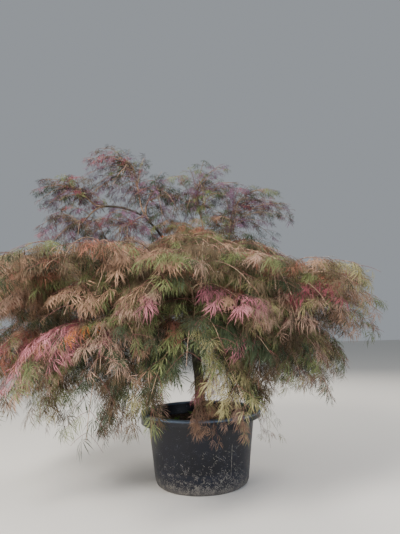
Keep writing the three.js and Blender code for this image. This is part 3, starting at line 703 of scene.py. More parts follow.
bough_paths = np.array([limb_path(name, BOUGH_STEPS) for name in BOUGHS])
bough_shares = np.linspace(0, 1, BOUGH_STEPS)
bough_feet, bough_tips = np.array([limbs[name]["radii"] for name in BOUGHS]).T
bough_radii = bough_feet[:, None] + (bough_tips - bough_feet)[:, None] * bough_shares
bough_points, bough_faces = tubes(bough_paths, bough_radii, BOUGH_SIDES, bough_relief)
piece("bough_bark", bough_points, bough_faces, old_bark, "bark", BOUGHS)
print("bough triangles:", len(bough_faces))

# %% [markdown]
# ## Leaves
# The leaf of this plant is a hand of narrow fingers on a thin stalk, each finger cut again into
# teeth. Real ones have hundreds of teeth. Here a finger is a slim blade that bends once, and only
# the three longest have a tooth or two, which is what a step away still shows. The fingers hang
# down at their tips.


# %% The shape of one leaf
FINGERS = (
    # heading in degrees, share of the full length, sides that have a tooth
    (0, 1.0, (-1, 1)),
    (24, 0.97, (1,)),
    (-25, 0.96, (-1,)),
    (50, 0.86, ()),
    (-52, 0.88, ()),
    (84, 0.66, ()),
    (-82, 0.70, ()),
)
STALK = 0.18
# as shares of the leaf's length: a finger's width, and how far a tooth reaches aside and along
FINGER_WIDTH = 0.03
TOOTH_REACH = 0.045
TOOTH_LENGTH = 0.28
# how much the fingers gather to the middle one, and how far chance sweeps them aside
GATHERING = 0.35
SWEEP = 0.8
# ranges of chance: how long a finger is, how far it falls, how much it gathers, how it fans out
# in degrees, where it bends, and where a tooth starts
LENGTH_RANGE = (0.88, 1.08)
FALL_RANGE = (0.8, 1.2)
GATHER_RANGE = (0.6, 1.3)
FAN_RANGE = (-7, 7)
BEND_RANGE = (0.42, 0.56)
TOOTH_RANGE = (0.3, 0.6)
LEAF_HANGS = (0.35, 0.6, 0.9, 0.75, 1.1, 0.5)


def leaf_shape(hang, random):
    """Points and triangles of a leaf of length 1 along X, with its face to +Z.

    The fingers leave the stalk fanwise, gather to one direction and hang down by `hang` radians.
    """
    points, faces = [], []

    def triangle(*corners):
        start = len(points)
        points.extend(corners)
        faces.append((start, start + 1, start + 2))

    palm = np.array([STALK, 0, -0.02])
    triangle(np.zeros(3), palm + [0.04, -0.012, 0], palm + [0.04, 0.012, 0])
    for angle, share, teeth in FINGERS:
        heading = math.radians(angle + random.uniform(*FAN_RANGE))
        length = (1 - STALK) * share * random.uniform(*LENGTH_RANGE)
        fall = hang * random.uniform(*FALL_RANGE)
        gather = GATHERING * random.uniform(*GATHER_RANGE)
        sweep = random.uniform(-SWEEP, SWEEP)

        def centre(distance):
            way = np.zeros(3)
            for step in np.linspace(0, distance, 6)[1:]:
                level = heading * (1 - gather * step) + sweep * step
                down = 0.1 + fall * step
                flat = math.cos(down)
                way += np.array([flat * math.cos(level), flat * math.sin(level), -math.sin(down)])
            return palm + way * distance * length / 5

        def edge(distance, aside):
            level = heading * (1 - gather * distance) + sweep * distance
            return centre(distance) + aside * np.array([-math.sin(level), math.cos(level), 0])

        bend = random.uniform(*BEND_RANGE)
        left, right = edge(bend, FINGER_WIDTH / 2), edge(bend, -FINGER_WIDTH / 2)
        triangle(edge(0, 0), right, left)
        triangle(right, edge(1, 0), left)
        for side in teeth:
            start = random.uniform(*TOOTH_RANGE)
            tip = edge(start + TOOTH_LENGTH, side * TOOTH_REACH)
            corners = edge(start, 0), tip, edge(start + 0.1, 0)
            triangle(*(corners if side < 0 else corners[::-1]))
    return np.array(points), np.array(faces)


leaf_random = np.random.default_rng(5)
LEAF_SHAPES = [leaf_shape(hang, leaf_random) for hang in LEAF_HANGS]
print("triangles of a leaf:", [len(faces) for _, faces in LEAF_SHAPES])

# %% [markdown]
# ## The rule of growth
# The source's rule is carried to finer twigs here. In each mass, points are spread over the oval
# by the golden angle. A twig runs from the stem to each, rises a little and hangs over. Pairs of
# side shoots grow from it, and pairs of leaves from those. A twig stays in the mass's own space,
# which ends half-way to its neighbours. A leaf may cross that line, as neighbouring sprays mingle
# in the real crown, but none leaves the reach of the whole or dips into the pot. The dome ends
# under a cone, so that it slopes down evenly on all sides, as the real one does.

# %% The room of each mass
# a twig keeps this share of the distance to a neighbour clear of the half-way line
CELL_GAP = 0.008
# nothing hangs over the pot lower than this height, within this radius
POT_CLEAR_RADIUS = 0.392
POT_CLEAR_HEIGHT = 0.432
# how far leaves mingle past a packed mass in x, y and z, a hanging one less, and past the whole
SPACE_MARGIN = np.array([0.1, 0.1, 0.02])
HANGING_SHARE = np.array([0.2, 0.2, 1])
BOX_MARGIN = 0.04
# the hem is uneven: its share of the habit's hem, and how that changes from mass to mass
HEM_MEAN = 0.6
HEM_CHANGE = 0.4
# skirts hang lower at the left, shoulders and the tassel are trimmed at the top and at the right
LEFT_HEM = 0.14
SHOULDER_TRIM = 0.05
TASSEL_TRIM = 0.09
# a shoulder is flatter above its middle, and the dome ends under a cone
SHOULDER_SQUEEZE = 1.5
ROOF_TOP = 1.72
ROOF_SLOPE = 0.6
OVAL_MARGIN = {habit: 1.12 for habit in HABITS}
OVAL_MARGIN.update(shoulder=1.3, skirt=1.22, dome=1.5, airy=1.4, spray=1.4)

whole_box = np.array([cad_low, cad_high]) + [[-BOX_MARGIN], [BOX_MARGIN]]
centres = np.array([mass["centre"] for mass in masses])
cell_weights = np.array([mass["weight"] for mass in masses])
for mass in masses:
    mingling = SPACE_MARGIN * HANGING_SHARE if mass["habit"] in HANGING else SPACE_MARGIN
    mass["box"] = np.array(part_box(mass["name"])) + [-mingling, mingling]
    unevenness = HEM_MEAN + HEM_CHANGE * math.sin(mass["seed"])
    mass["box"][0, 2] -= HABITS[mass["habit"]]["hem"] * unevenness
    if mass["habit"] == "skirt":
        mass["box"][0, 2] -= LEFT_HEM * max(0, -unit(mass["centre"])[0])
    if mass["habit"] == "shoulder":
        mass["box"][1, 2] -= SHOULDER_TRIM
    if mass["habit"] == "tassel":
        mass["box"][1, 0] -= TASSEL_TRIM
    mass["box"] = np.clip(mass["box"], *whole_box)


def near_pot(points):
    """True for each point that would touch the pot or the compost."""
    over_pot = np.hypot(points[:, 0], points[:, 1]) < POT_CLEAR_RADIUS
    return over_pot & (points[:, 2] < POT_CLEAR_HEIGHT)


def in_space(index, points):
    """True for each point in a mass's own oval, nearer to it than to any other."""
    mass = masses[index]
    offset = points - mass["centre"]
    inside = (((offset @ mass["axes"].T) / mass["half"]) ** 2).sum(-1) < 1
    power = ((points[:, None] - centres[None]) ** 2).sum(-1) - cell_weights
    margin = np.linalg.norm(centres - mass["centre"], axis=1) * CELL_GAP
    margin[index] = -1
    nearest = (power - power[:, index : index + 1] > margin).all(axis=1)
    return inside & nearest & ~near_pot(points)


def in_reach(mass, points):
    """True for each point that a leaf or a shoot of a mass may reach."""
    offset = (points - mass["centre"]) @ mass["axes"].T / mass["half"]
    if mass["habit"] == "shoulder":
        offset[:, 2] *= np.where(offset[:, 2] > 0, SHOULDER_SQUEEZE, 1)
    inside = (offset**2).sum(-1) < OVAL_MARGIN[mass["habit"]] ** 2
    boxed = (points > mass["box"][0]).all(axis=1) & (points < mass["box"][1]).all(axis=1)
    roof = ROOF_TOP - ROOF_SLOPE * np.hypot(points[:, 0], points[:, 1])
    roofed = (points[:, 2] < roof) | (mass["habit"] != "dome")
    return inside & boxed & roofed & ~near_pot(points)


def open_room(habit):
    """The room of sprays that belong to no mass, which only the whole box bounds."""
    return {"habit": habit, "half": np.full(3, 9.0), "axes": np.eye(3), "box": whole_box, **HABITS[habit]}


print("whole box:", whole_box.round(3).tolist())

# %% [markdown]
# The golden angle spreads points so that no two stand in line, as it spreads the buds round a
# shoot. Points that lie far back in the crown are passed over, because light never reaches them.

# %% Points that twigs grow to
# how many points are spread, and the stride in which they are tried
TWIG_TRIES = 40
TWIG_STRIDE = 11
TWIG_SHARES = (0.84, 0.74, 0.64, 0.52, 0.4)
GOLDEN = 0.618
GOLDEN_ANGLE = math.pi * (3 - math.sqrt(5))
# the highest point of the spread and its range, as shares of the half height
HIGHEST = 0.85
RANGE = 1.5
# how far back a point may lie, as the cosine of its angle to the mass's face
FURTHEST_BACK = -0.4


def twig_target(mass, index, share):
    """A point for a twig to end at, or None where it would be far back in the crown."""
    up = HIGHEST - RANGE * (index + 0.5) / TWIG_TRIES
    turn = index * GOLDEN_ANGLE
    level = math.sqrt(1 - up * up)
    way = np.array([level * math.cos(turn), level * math.sin(turn), up]) * mass["half"]
    way = way @ mass["axes"]
    if way @ mass["face"] < FURTHEST_BACK * np.linalg.norm(way):
        return None
    return mass["centre"] + way * share


print("first target:", twig_target(masses[0], 0, 0.8).round(3))

# %% [markdown]
# Autumn reaches the sprays that get the most light first. So a spray's tint is dealt out by where
# it hangs: purple and dull crimson in the airy top, reddish brown over the dome, pink and crimson
# along the lower edge of the shoulders, olive and tan in the skirts and dark green in the shade.
# The tints also carry painted light and shade: the lit decks on the tops of the masses are lighter,
# the shaded decks below are darker, and the darkest tints paint the shade inside the crown.
# A painter would brush this on. A deck of tints for each kind of place, drawn from by chance, gives
# the same mix without a picture.

# %% Tints and the shares of them
TINTS = {
    "reddish_brown": "#866a57",
    "umber": "#514433",
    "dull_crimson": "#7f424c",
    "pink": "#a86b77",
    "pink_tan": "#93796a",
    "olive": "#626b44",
    "dark_green": "#2f3a26",
    "tan": "#87815b",
    "orange": "#bb6e38",
    "gold": "#c4962f",
    "purple": "#6a4e64",
    "russet": "#835546",
}
LIT = {
    # habit: shares of the tints on the upper side, lighter ones as painted light
    "shoulder": {"reddish_brown": 6, "pink_tan": 4, "umber": 3, "russet": 2, "olive": 3, "tan": 1},
    "skirt": {"tan": 2, "olive": 4, "pink_tan": 2, "umber": 3, "reddish_brown": 2, "dark_green": 3},
    "dome": {
        "reddish_brown": 4,
        "umber": 7,
        "russet": 2,
        "olive": 4,
        "dark_green": 4,
        "pink_tan": 1,
        "orange": 0.15,
    },
    "top": {"reddish_brown": 4, "russet": 3, "umber": 4, "olive": 3, "dark_green": 3, "orange": 0.4},
    "airy": {"purple": 4, "dull_crimson": 2, "dark_green": 4, "umber": 2, "olive": 3},
    "spray": {"dull_crimson": 2, "purple": 3, "umber": 3, "dark_green": 2},
    "bough": {"umber": 4, "olive": 3, "reddish_brown": 3, "dark_green": 2},
    "cover": {"reddish_brown": 5, "umber": 3, "olive": 4, "russet": 2},
    "high": {"purple": 4, "dull_crimson": 2, "dark_green": 4, "umber": 2, "olive": 2},
}
SHADED = {
    # habit: shares of the tints on the under side, darker ones as painted shade
    "shoulder": {"reddish_brown": 4, "umber": 3, "olive": 4, "dark_green": 2, "pink_tan": 1},
    "skirt": {"olive": 4, "dark_green": 4, "umber": 3, "tan": 1},
    "dome": {"olive": 4, "dark_green": 5, "umber": 4},
    "top": {"olive": 3, "dark_green": 3, "umber": 3},
    "airy": {"purple": 3, "dark_green": 4, "umber": 2},
    "spray": {"purple": 2, "umber": 3, "dark_green": 2},
    "bough": {"umber": 4, "olive": 3, "dark_green": 4},
    "cover": {"umber": 4, "olive": 4, "dark_green": 3},
    "high": {"purple": 3, "dark_green": 4, "umber": 2},
}
# the reddest tier along the shoulders' lower edge, and its paler right side
EDGE = {"pink": 3, "dull_crimson": 4, "russet": 2, "pink_tan": 2, "umber": 1, "orange": 0.3}
EDGE["gold"] = 0.15
PALE_EDGE = {"pink_tan": 6, "tan": 3, "reddish_brown": 2, "olive": 2, "dull_crimson": 0.1}
# the tops of the shoulders at the right and at the front
RIGHT_TOP = {"pink_tan": 6, "tan": 3, "reddish_brown": 3, "olive": 2}
FRONT_TOP = {"umber": 6, "reddish_brown": 5, "olive": 4, "dark_green": 3, "russet": 2, "pink_tan": 1}
# painted shade: the darkest tints, put inside the crown and under the eaves of the shoulders
PAINTED_SHADE_TINTS = {"dark_green": 6, "umber": 2, "olive": 1}
CURTAINS = {
    "curtain_front": {"pink_tan": 5, "reddish_brown": 2, "pink": 0.6, "tan": 1},
    "curtain_left": {"umber": 4, "reddish_brown": 2, "olive": 2},
    "curtain_right": {"tan": 4, "pink_tan": 3, "olive": 1},
}
SPARKS = ("orange", "gold")
print("tints:", len(TINTS), "decks by habit:", len(LIT) + len(SHADED))

# %% [markdown]
# Each twig draws a tint of its own, and about half of its shoots keep to it, so colour comes in
# patches. The brightest two are for single shoots, which glow like sparks in the real crown.

# %% Deal out the tints by place
# chance that a spray in a mass's middle takes the lit tints, a painted light, and how that rises to its
# top
LIT_CHANCE = 0.8
LIT_RISE = 0.9
# the red tier: its mean height, how that changes round the crown, where it is highest, how thick
# it is, where it starts as a share of the reach, and how sure it is
EDGE_HEIGHT = 0.92
EDGE_SAG = 0.125
EDGE_AZIMUTH = 280
EDGE_BAND = 0.09
EDGE_SHARE = 0.5
EDGE_CHANCE = 0.7
# the cosine of the azimuth past which the right side turns pale, and the azimuths of the front
PALE_SIDE = 0.25
FRONT = (-140, -45)
# the painted shade: its outer share of the reach and its top, and the lowest height of the eaves' shade
DEEP_SHARE = 0.6
DEEP_TOP = 1.2
EAVE_LOW = 0.74
EAVE_CHANCE = 0.8


def edge_height(azimuth):
    """Height of the reddest tier. It is highest at the front and the back, and sags at the sides."""
    return EDGE_HEIGHT + EDGE_SAG * math.cos(math.radians(2 * (azimuth - EDGE_AZIMUTH)))


def tint_of(mass, place, random, sparks=False):
    """The name of the tint of a spray that hangs at a place. Only small sprays may be sparks."""
    habit = mass["habit"]
    azimuth = math.degrees(math.atan2(place[1], place[0]))
    share = math.hypot(place[0], place[1]) / reach_at(azimuth)
    above = (place[2] - mass["centre"][2]) / mass["half"][2]
    pale = math.cos(math.radians(azimuth)) > PALE_SIDE
    if habit in HANGING:
        deal = CURTAINS[mass["name"]]
    else:
        lit = random.random() < LIT_CHANCE + LIT_RISE * above
        deal = LIT[habit] if lit else SHADED[habit]
        if lit and habit == "shoulder" and FRONT[0] < azimuth < FRONT[1]:
            deal = FRONT_TOP
        elif lit and habit == "shoulder" and pale:
            deal = RIGHT_TOP
    outer = habit in ("shoulder", "skirt")
    in_band = abs(place[2] - edge_height(azimuth)) < EDGE_BAND and share > EDGE_SHARE
    if outer and in_band and random.random() < EDGE_CHANCE:
        deal = PALE_EDGE if pale else EDGE
    # inside the crown and under the eaves, the darkest tints paint the shade
    under_eave = outer and EAVE_LOW < place[2] < edge_height(azimuth) - EDGE_BAND
    deep = share < DEEP_SHARE and place[2] < DEEP_TOP and habit not in HANGING
    if deep or under_eave and random.random() < EAVE_CHANCE:
        deal = PAINTED_SHADE_TINTS
    names = [name for name in deal if sparks or name not in SPARKS]
    odds = np.array([deal[name] for name in names], dtype=float)
    return names[random.choice(len(names), p=odds / odds.sum())]


print("red tier at the front and at the left:", round(edge_height(270), 2), round(edge_height(180), 2))

# %% [markdown]
# Nothing becomes a mesh until all of the crown is known. Twigs and shoots are gathered as paths,
# and each leaf as a root, an axis, a face, a length and the number of its shape. A leaf points
# along its shoot, outward and aside, and hangs down. Those on top of a mass hang less.

# %% Hang one leaf
# what a leaf's axis is made of: along its shoot, out of the crown, aside, and chance
AHEAD = 0.45
OUT = 0.45
ASIDE = 0.6
CHANCE = 0.28
LEAF_FALL = (0.15, 0.75)
LEAF_LENGTHS = (0.55, 1.15)
FLATTER_ON_TOP = 0.45
# how a leaf's face turns from straight up: outward, and by chance
FACE_OUT = 0.5
FACE_CHANCE = 0.3

twig_paths, shoot_paths = [], []
leaf_rows = {tint: [] for tint in TINTS}


def hang_leaf(mass, root, heading, lean, side, tint, random):
    """Adds one leaf to the rows of its tint, if there is room for it."""
    out = unit(root * [1, 1, 0])
    above = np.clip((root[2] - mass["centre"][2]) / mass["half"][2], 0, 1)
    least, more = LEAF_FALL
    fall = UP * (least + more * mass["droop"] * (1 - FLATTER_ON_TOP * above))
    chance = random.normal(0, CHANCE, 3)
    axis = unit(heading * AHEAD + out * OUT + side * ASIDE * lean - fall + chance)
    length = mass["leaf"] * random.uniform(*LEAF_LENGTHS)
    tip = root + axis * length
    middle, spread = root + axis * 0.5 * length, 0.5 * length
    if (middle - spread < whole_box[0]).any() or (middle + spread > whole_box[1]).any():
        return
    if not in_reach(mass, np.array([tip, middle])).all():
        return
    light = UP + out * FACE_OUT + random.normal(0, FACE_CHANCE, 3)
    normal = unit(light - (light @ axis) * axis)
    leaf_rows[tint].append((root, axis, normal, length, random.integers(len(LEAF_SHAPES))))


print("leaf lengths:", [round(share * HABITS["shoulder"]["leaf"], 3) for share in LEAF_LENGTHS])

# %% [markdown]
# A shoot leaves its twig sideways and hangs over in a parabola. Where there is no room for it, a
# shorter one is tried, as a crowded shoot stays short on the plant too.

# %% Grow one shoot with its pairs of leaves
SHOOT_STEPS = 4
SHOOT_SPACING = 0.088
SHOOT_LENGTHS = (0.10, 0.19)
SHORTER = (1.0, 0.75, 0.5)
LEAF_NODES = (0.25, 0.5, 0.75, 1.0)
LEAVES_MISSING = {habit: 0.12 for habit in HABITS}
LEAVES_MISSING.update(airy=0.2, high=0.3, curtain=0.35)
KEEPING_TINT = 0.5
SHOOT_FALL = (0.25, 0.8)
# shares of ahead and aside in a shoot's direction, on a twig and on a limb
ON_TWIG = (0.6, 0.7)
ON_LIMB = (0.5, 0.8)


def shoot_direction(along, aside, shares, rise, chance, random):
    """Where a side shoot points: ahead, aside, upward and by chance."""
    return unit(along * shares[0] + aside * shares[1] + UP * rise + random.normal(0, chance, 3))


def grow_shoot(mass, root, direction, length, twig_tint, random):
    """A thin side shoot that hangs over, with its pairs of leaves."""
    least, more = SHOOT_FALL
    fall = UP * (least + more * mass["droop"]) * 0.5
    shares = np.linspace(0, 1, SHOOT_STEPS)[:, None]
    for shorter in SHORTER:
        path = root + length * shorter * (shares * direction - fall * shares**2)
        if in_reach(mass, path[1:]).all():
            break
    else:
        return
    shoot_paths.append(path)
    tint = twig_tint if random.random() < KEEPING_TINT else tint_of(mass, path[-1], random, True)
    side = unit(np.cross(direction, UP) + 1e-6)
    for share in LEAF_NODES:
        at = root + length * shorter * (share * direction - fall * share**2)
        heading = unit(direction - 2 * fall * share)
        for lean in (-1, 1):
            if random.random() > LEAVES_MISSING[mass["habit"]]:
                hang_leaf(mass, at, heading, lean, side, tint, random)
    hang_leaf(mass, path[-1], heading, 0, side, tint, random)


print("leaves on a full shoot:", 2 * len(LEAF_NODES) + 1)

# %% [markdown]
# A twig arches from its mass's stem to a point of the spread and hangs over at its tail. Pairs of
# shoots stand along it, shorter towards its end, and one more ends it. A modifier that copies one
# spray everywhere would be quicker, but no two sprays of the real plant are alike.

# %% Grow one twig with its pairs of shoots
TWIG_STEPS = 10
TWIG_ARCH = 0.22
SHORTEST_TWIG = 0.07
TAIL = 0.10
SHORT_TAIL = 0.3
END_SHOOT = 0.09
# along the twig: where its shoots start, how much shorter they get, how they rise and stray
FIRST_SHOOT = 0.3
SHORTENING = (1.1, 0.4)
TWIG_RISE = 0.15
TWIG_CHANCE = 0.14


def grow_twig(mass, index, target, foot_share, random):
    """A twig from the stem to a target, with pairs of shoots along it. False if it can't grow."""
    foot = along_curve(limbs[mass["name"]]["control"], [foot_share])[0]
    distance = np.linalg.norm(target - foot)
    middle = (foot + target) / 2 + UP * TWIG_ARCH * distance
    path = along_curve([foot, middle, target], np.linspace(0, 1, TWIG_STEPS - 2))
    if distance < SHORTEST_TWIG or not in_space(index, path[3:]).all():
        return False
    heading = unit(target - middle)
    reach = np.array([[0.5], [1.0]])
    tail = target + TAIL * mass["scale"] * (reach * heading - UP * 0.5 * mass["droop"] * reach**2)
    if not in_reach(mass, tail).all():
        tail = target + (tail - target) * SHORT_TAIL
    path = np.concatenate([path, tail])
    if not in_reach(mass, path[3:]).all():
        return False
    twig_paths.append(path)
    tint = tint_of(mass, target, random)
    side = unit(np.cross(target - foot, UP) + 1e-6)
    lengths = np.concatenate([[0], np.cumsum(np.linalg.norm(np.diff(path, axis=0), axis=1))])
    longest, shortening = SHORTENING
    for at in np.arange(FIRST_SHOOT * lengths[-1], lengths[-1], SHOOT_SPACING):
        root = np.array([np.interp(at, lengths, path[:, c]) for c in range(3)])
        ahead = np.array([np.interp(at + 0.01, lengths, path[:, c]) for c in range(3)])
        along = unit(ahead - root) if at + 0.01 < lengths[-1] else heading
        for lean in (-1, 1):
            direction = shoot_direction(along, side * lean, ON_TWIG, TWIG_RISE, TWIG_CHANCE, random)
            length = random.uniform(*SHOOT_LENGTHS) * mass["scale"]
            length *= longest - shortening * at / lengths[-1]
            grow_shoot(mass, root, direction, length, tint, random)
    grow_shoot(mass, path[-1], heading, END_SHOOT * mass["scale"], tint, random)
    return True


print("a twig has", TWIG_STEPS, "places")

# %% [markdown]
# Growing is now a loop over the masses. For each point of the spread the twig tries to reach far
# out, and then less far, until it finds room. Feet are spread along the stem by the golden share.

# %% Grow the twigs of every mass
FIRST_TWIG = 0.42
LAST_TWIG = 0.97

for index, mass in enumerate(masses):
    random = np.random.default_rng(mass["seed"])
    grown = 0
    for attempt in range(TWIG_TRIES):
        if grown == HABITS[mass["habit"]]["twigs"]:
            break
        for share in TWIG_SHARES:
            target = twig_target(mass, (attempt * TWIG_STRIDE) % TWIG_TRIES, share)
            if target is None or not in_space(index, target[None])[0]:
                continue
            foot_share = FIRST_TWIG + (LAST_TWIG - FIRST_TWIG) * ((GOLDEN * grown) % 1)
            if grow_twig(mass, index, target, foot_share, random):
                grown += 1
                break
    mass["twigs"] = grown
print("twigs by mass:", {mass["name"]: mass["twigs"] for mass in masses})

# %% [markdown]
# Boughs and stems are leafy along their outer part, which hides most of their bare length.

# %% Grow shoots along the limbs
# share of the length where shoots start, and their spacing in metres
BOUGH_SHOOTS = (0.3, 0.08)
HIGH_SHOOTS = (0.3, 0.05)
STEM_SHOOTS = (0.25, 0.06)
LIMB_CHANCE = 0.15


def grow_along(name, habit, first_share, spacing, seed):
    """Leafy side shoots along a limb, from a share of its length on."""
    random = np.random.default_rng(seed)
    room = open_room(habit)
    span = np.linalg.norm(limbs[name]["control"][-1] - limbs[name]["control"][0])
    shares = np.arange(first_share, 1.0, spacing / span)
    if not len(shares):
        return
    roots = along_curve(limbs[name]["control"], shares)
    ahead = unit(along_curve(limbs[name]["control"], np.minimum(shares + 0.02, 1)) - roots + 1e-6 * UP)
    for root, along in zip(roots, ahead):
        side = unit(np.cross(along, UP))
        room["centre"] = root
        for lean in (-1, 1):
            rise = random.uniform(*room["rise"])
            direction = shoot_direction(along, side * lean, ON_LIMB, rise, LIMB_CHANCE, random)
            length = random.uniform(*SHOOT_LENGTHS) * room["scale"]
            grow_shoot(room, root, direction, length, tint_of(room, root, random), random)


for i in range(RING_COUNT):
    grow_along(f"bough_{i + 1}", "bough", *BOUGH_SHOOTS, 4000 + i)
for i, name in enumerate(["high_bough", "high_bough_outer"]):
    grow_along(name, "high", *HIGH_SHOOTS, 5000 + i)
for mass in masses:
    habit = "high" if mass["habit"] in ("airy", "spray") else "bough"
    grow_along(mass["name"], habit, *STEM_SHOOTS, mass["seed"] + 1)
print("shoots so far:", len(shoot_paths))

# %% [markdown]
# A plant fills the places where light comes through. So points are spread in two layers over the
# crown, and where few leaves hang near one, a spray grows to it from the nearest limb below.

# %% Sprays that grow into the open places
LIGHT_POINTS = 150
# where the layers start and end as shares of the reach, and their heights at both
LIGHT_SHARES = (0.22, 0.88)
LIGHT_HEIGHTS = [(1.34, 1.16), (1.16, 1.04)]
LIGHT_RADIUS = 0.15
FEW_LEAVES = 105
COVER_ARCH = 0.2
COVER_STEPS = (5, 7, 9)
COVER_RISE = 0.2
COVER_CHANCE = 0.2

leaf_roots = np.array([row[0] for rows in leaf_rows.values() for row in rows])
limb_shares = np.linspace(0.25, 1, 16)
limb_points = [along_curve(limbs[name]["control"], limb_shares) for name in limbs if name != "trunk"]
limb_points = np.concatenate(limb_points)


def light_point(i, random):
    """A point of the two layers, spread evenly over their area by the golden angle."""
    low, high = LIGHT_SHARES
    share = math.sqrt(low**2 + (high**2 - low**2) * (i % LIGHT_POINTS + 0.5) / LIGHT_POINTS)
    azimuth = i * math.degrees(GOLDEN_ANGLE)
    height = np.interp(share, LIGHT_SHARES, LIGHT_HEIGHTS[i // LIGHT_POINTS])
    return crown_point(azimuth, share, height) + UP * (lift_at(azimuth) + random.uniform(-0.05, 0.05))


def grow_cover(room, target, random):
    """A spray that grows from the nearest limb point below up to a target."""
    below = limb_points[limb_points[:, 2] < target[2] - 0.02]
    foot = below[np.linalg.norm(below - target, axis=1).argmin()]
    middle = (foot + target) / 2 + UP * COVER_ARCH * np.linalg.norm(target - foot)
    path = along_curve([foot, middle, target], np.linspace(0, 1, TWIG_STEPS))
    twig_paths.append(path)
    room["centre"] = target
    tint = tint_of(room, target, random)
    side = unit(np.cross(target - foot, UP) + 1e-6)
    for step in COVER_STEPS:
        along = unit(path[step] - path[step - 1])
        for lean in (-1, 1):
            direction = shoot_direction(along, side * lean, ON_LIMB, COVER_RISE, COVER_CHANCE, random)
            length = random.uniform(*SHOOT_LENGTHS) * room["scale"]
            grow_shoot(room, path[step], direction, length, tint, random)


cover_room = open_room("cover")
cover_count = 0
for i in range(LIGHT_POINTS * len(LIGHT_HEIGHTS)):
    random = np.random.default_rng(6000 + i)
    target = light_point(i, random)
    near = np.linalg.norm(leaf_roots - target, axis=1) < LIGHT_RADIUS
    if near.sum() <= FEW_LEAVES:
        grow_cover(cover_room, target, random)
        cover_count += 1
print("sprays in open places:", cover_count)

leaf_counts = {tint: len(rows) for tint, rows in leaf_rows.items()}
print("twigs:", len(twig_paths), "shoots:", len(shoot_paths), "leaves:", sum(leaf_counts.values()))
print(leaf_counts)

# %% [markdown]
# Some strong twigs have shed their leaves and arch over the outside of the crown, pale tan against
# the foliage. Each leaves the top of a shoulder and hangs down its outer face.

# %% Bare arching twigs
ARCH_COUNT = 22
ARCH_STEPS = 16
ARCH_SIDES = 6
ARCH_RADII = (0.0040, 0.0015)
ARCH_TURN = 14
# share of the reach and height where each starts, and the ranges of those of its bend and its end
ARCH_START = (0.55, 1.16)
ARCH_BEND = ((0.8, 0.9), 1.52)
ARCH_END = ((0.94, 1.02), (0.98, 1.14))
ARCH_WANDER = 0.02

arch_random = np.random.default_rng(77)
arch_paths = []
for i in range(ARCH_COUNT):
    azimuth = (LEAN_AZIMUTH + i * 360 * GOLDEN) % 360
    lift = lift_at(azimuth)
    turn = arch_random.uniform(-ARCH_TURN, ARCH_TURN)
    bend_share = arch_random.uniform(*ARCH_BEND[0])
    end_share = arch_random.uniform(*ARCH_END[0])
    end_height = arch_random.uniform(*ARCH_END[1])
    control = [
        crown_point(azimuth, ARCH_START[0], ARCH_START[1] + lift),
        crown_point(azimuth + turn / 2, bend_share, ARCH_BEND[1] + lift),
        crown_point(azimuth + turn, end_share, end_height + lift),
    ]
    path = along_curve(control, np.linspace(0, 1, ARCH_STEPS))
    wander = np.array([noise.noise_vector(Vector(point) * 6.0) for point in path])
    arch_paths.append(path + ARCH_WANDER * wander * np.linspace(0, 1, ARCH_STEPS)[:, None])
arch_radii = np.tile(np.linspace(*ARCH_RADII, ARCH_STEPS), (ARCH_COUNT, 1))
arch_mesh = tubes(np.array(arch_paths), arch_radii, ARCH_SIDES)
print("bare twigs:", ARCH_COUNT)

# %% [markdown]
# ## Twigs and shoots as meshes
# Stems and twigs are tan and woody, and this year's shoots are thin and dark red. A bare twig
# shows its own curve, so each has a few steps, and three to eight sides by how thick it is.

# %% Stems, twigs and shoots
MASS_NAMES = [mass["name"] for mass in masses]
STEM_STEPS = 12
STEM_SIDES = 8
TWIG_SIDES = 4
SHOOT_SIDES = 3
TWIG_RADII = (0.0027, 0.0012)
SHOOT_RADII = (0.0012, 0.0007)

stem_paths = np.array([limb_path(name, STEM_STEPS) for name in MASS_NAMES])
stem_radii = np.tile(np.linspace(*STEM_RADII, STEM_STEPS), (len(masses), 1))
twig_radii = np.tile(np.linspace(*TWIG_RADII, TWIG_STEPS), (len(twig_paths), 1))
shoot_radii = np.tile(np.linspace(*SHOOT_RADII, SHOOT_STEPS), (len(shoot_paths), 1))

stem_mesh = tubes(stem_paths, stem_radii, STEM_SIDES)
twig_mesh = tubes(np.array(twig_paths), twig_radii, TWIG_SIDES)
shoot_mesh = tubes(np.array(shoot_paths), shoot_radii, SHOOT_SIDES)
piece("twigs", *joined([stem_mesh, twig_mesh, arch_mesh]), young_bark, "bark", MASS_NAMES)
piece("shoots", *shoot_mesh, shoot_skin, "bark", MASS_NAMES)
print("triangles:", len(stem_mesh[1]), len(twig_mesh[1]), len(shoot_mesh[1]))

# %% [markdown]
# ## Leaf blades
# A blade is thin and a little waxy: the highlights are soft and wide. Each tint is a plain base
# colour on a joined mesh of its own. A faint mottle of a few centimetres keeps one leaf from
# looking just like the next, and fine ribs catch the light.

# %% Leaf materials
LEAF_MOTTLE = 0.035
RIB_SPACING = 0.004
DARKER = np.array([0.62, 0.62, 0.6, 1])
LIGHTER = np.array([1.3, 1.26, 1.2, 1])


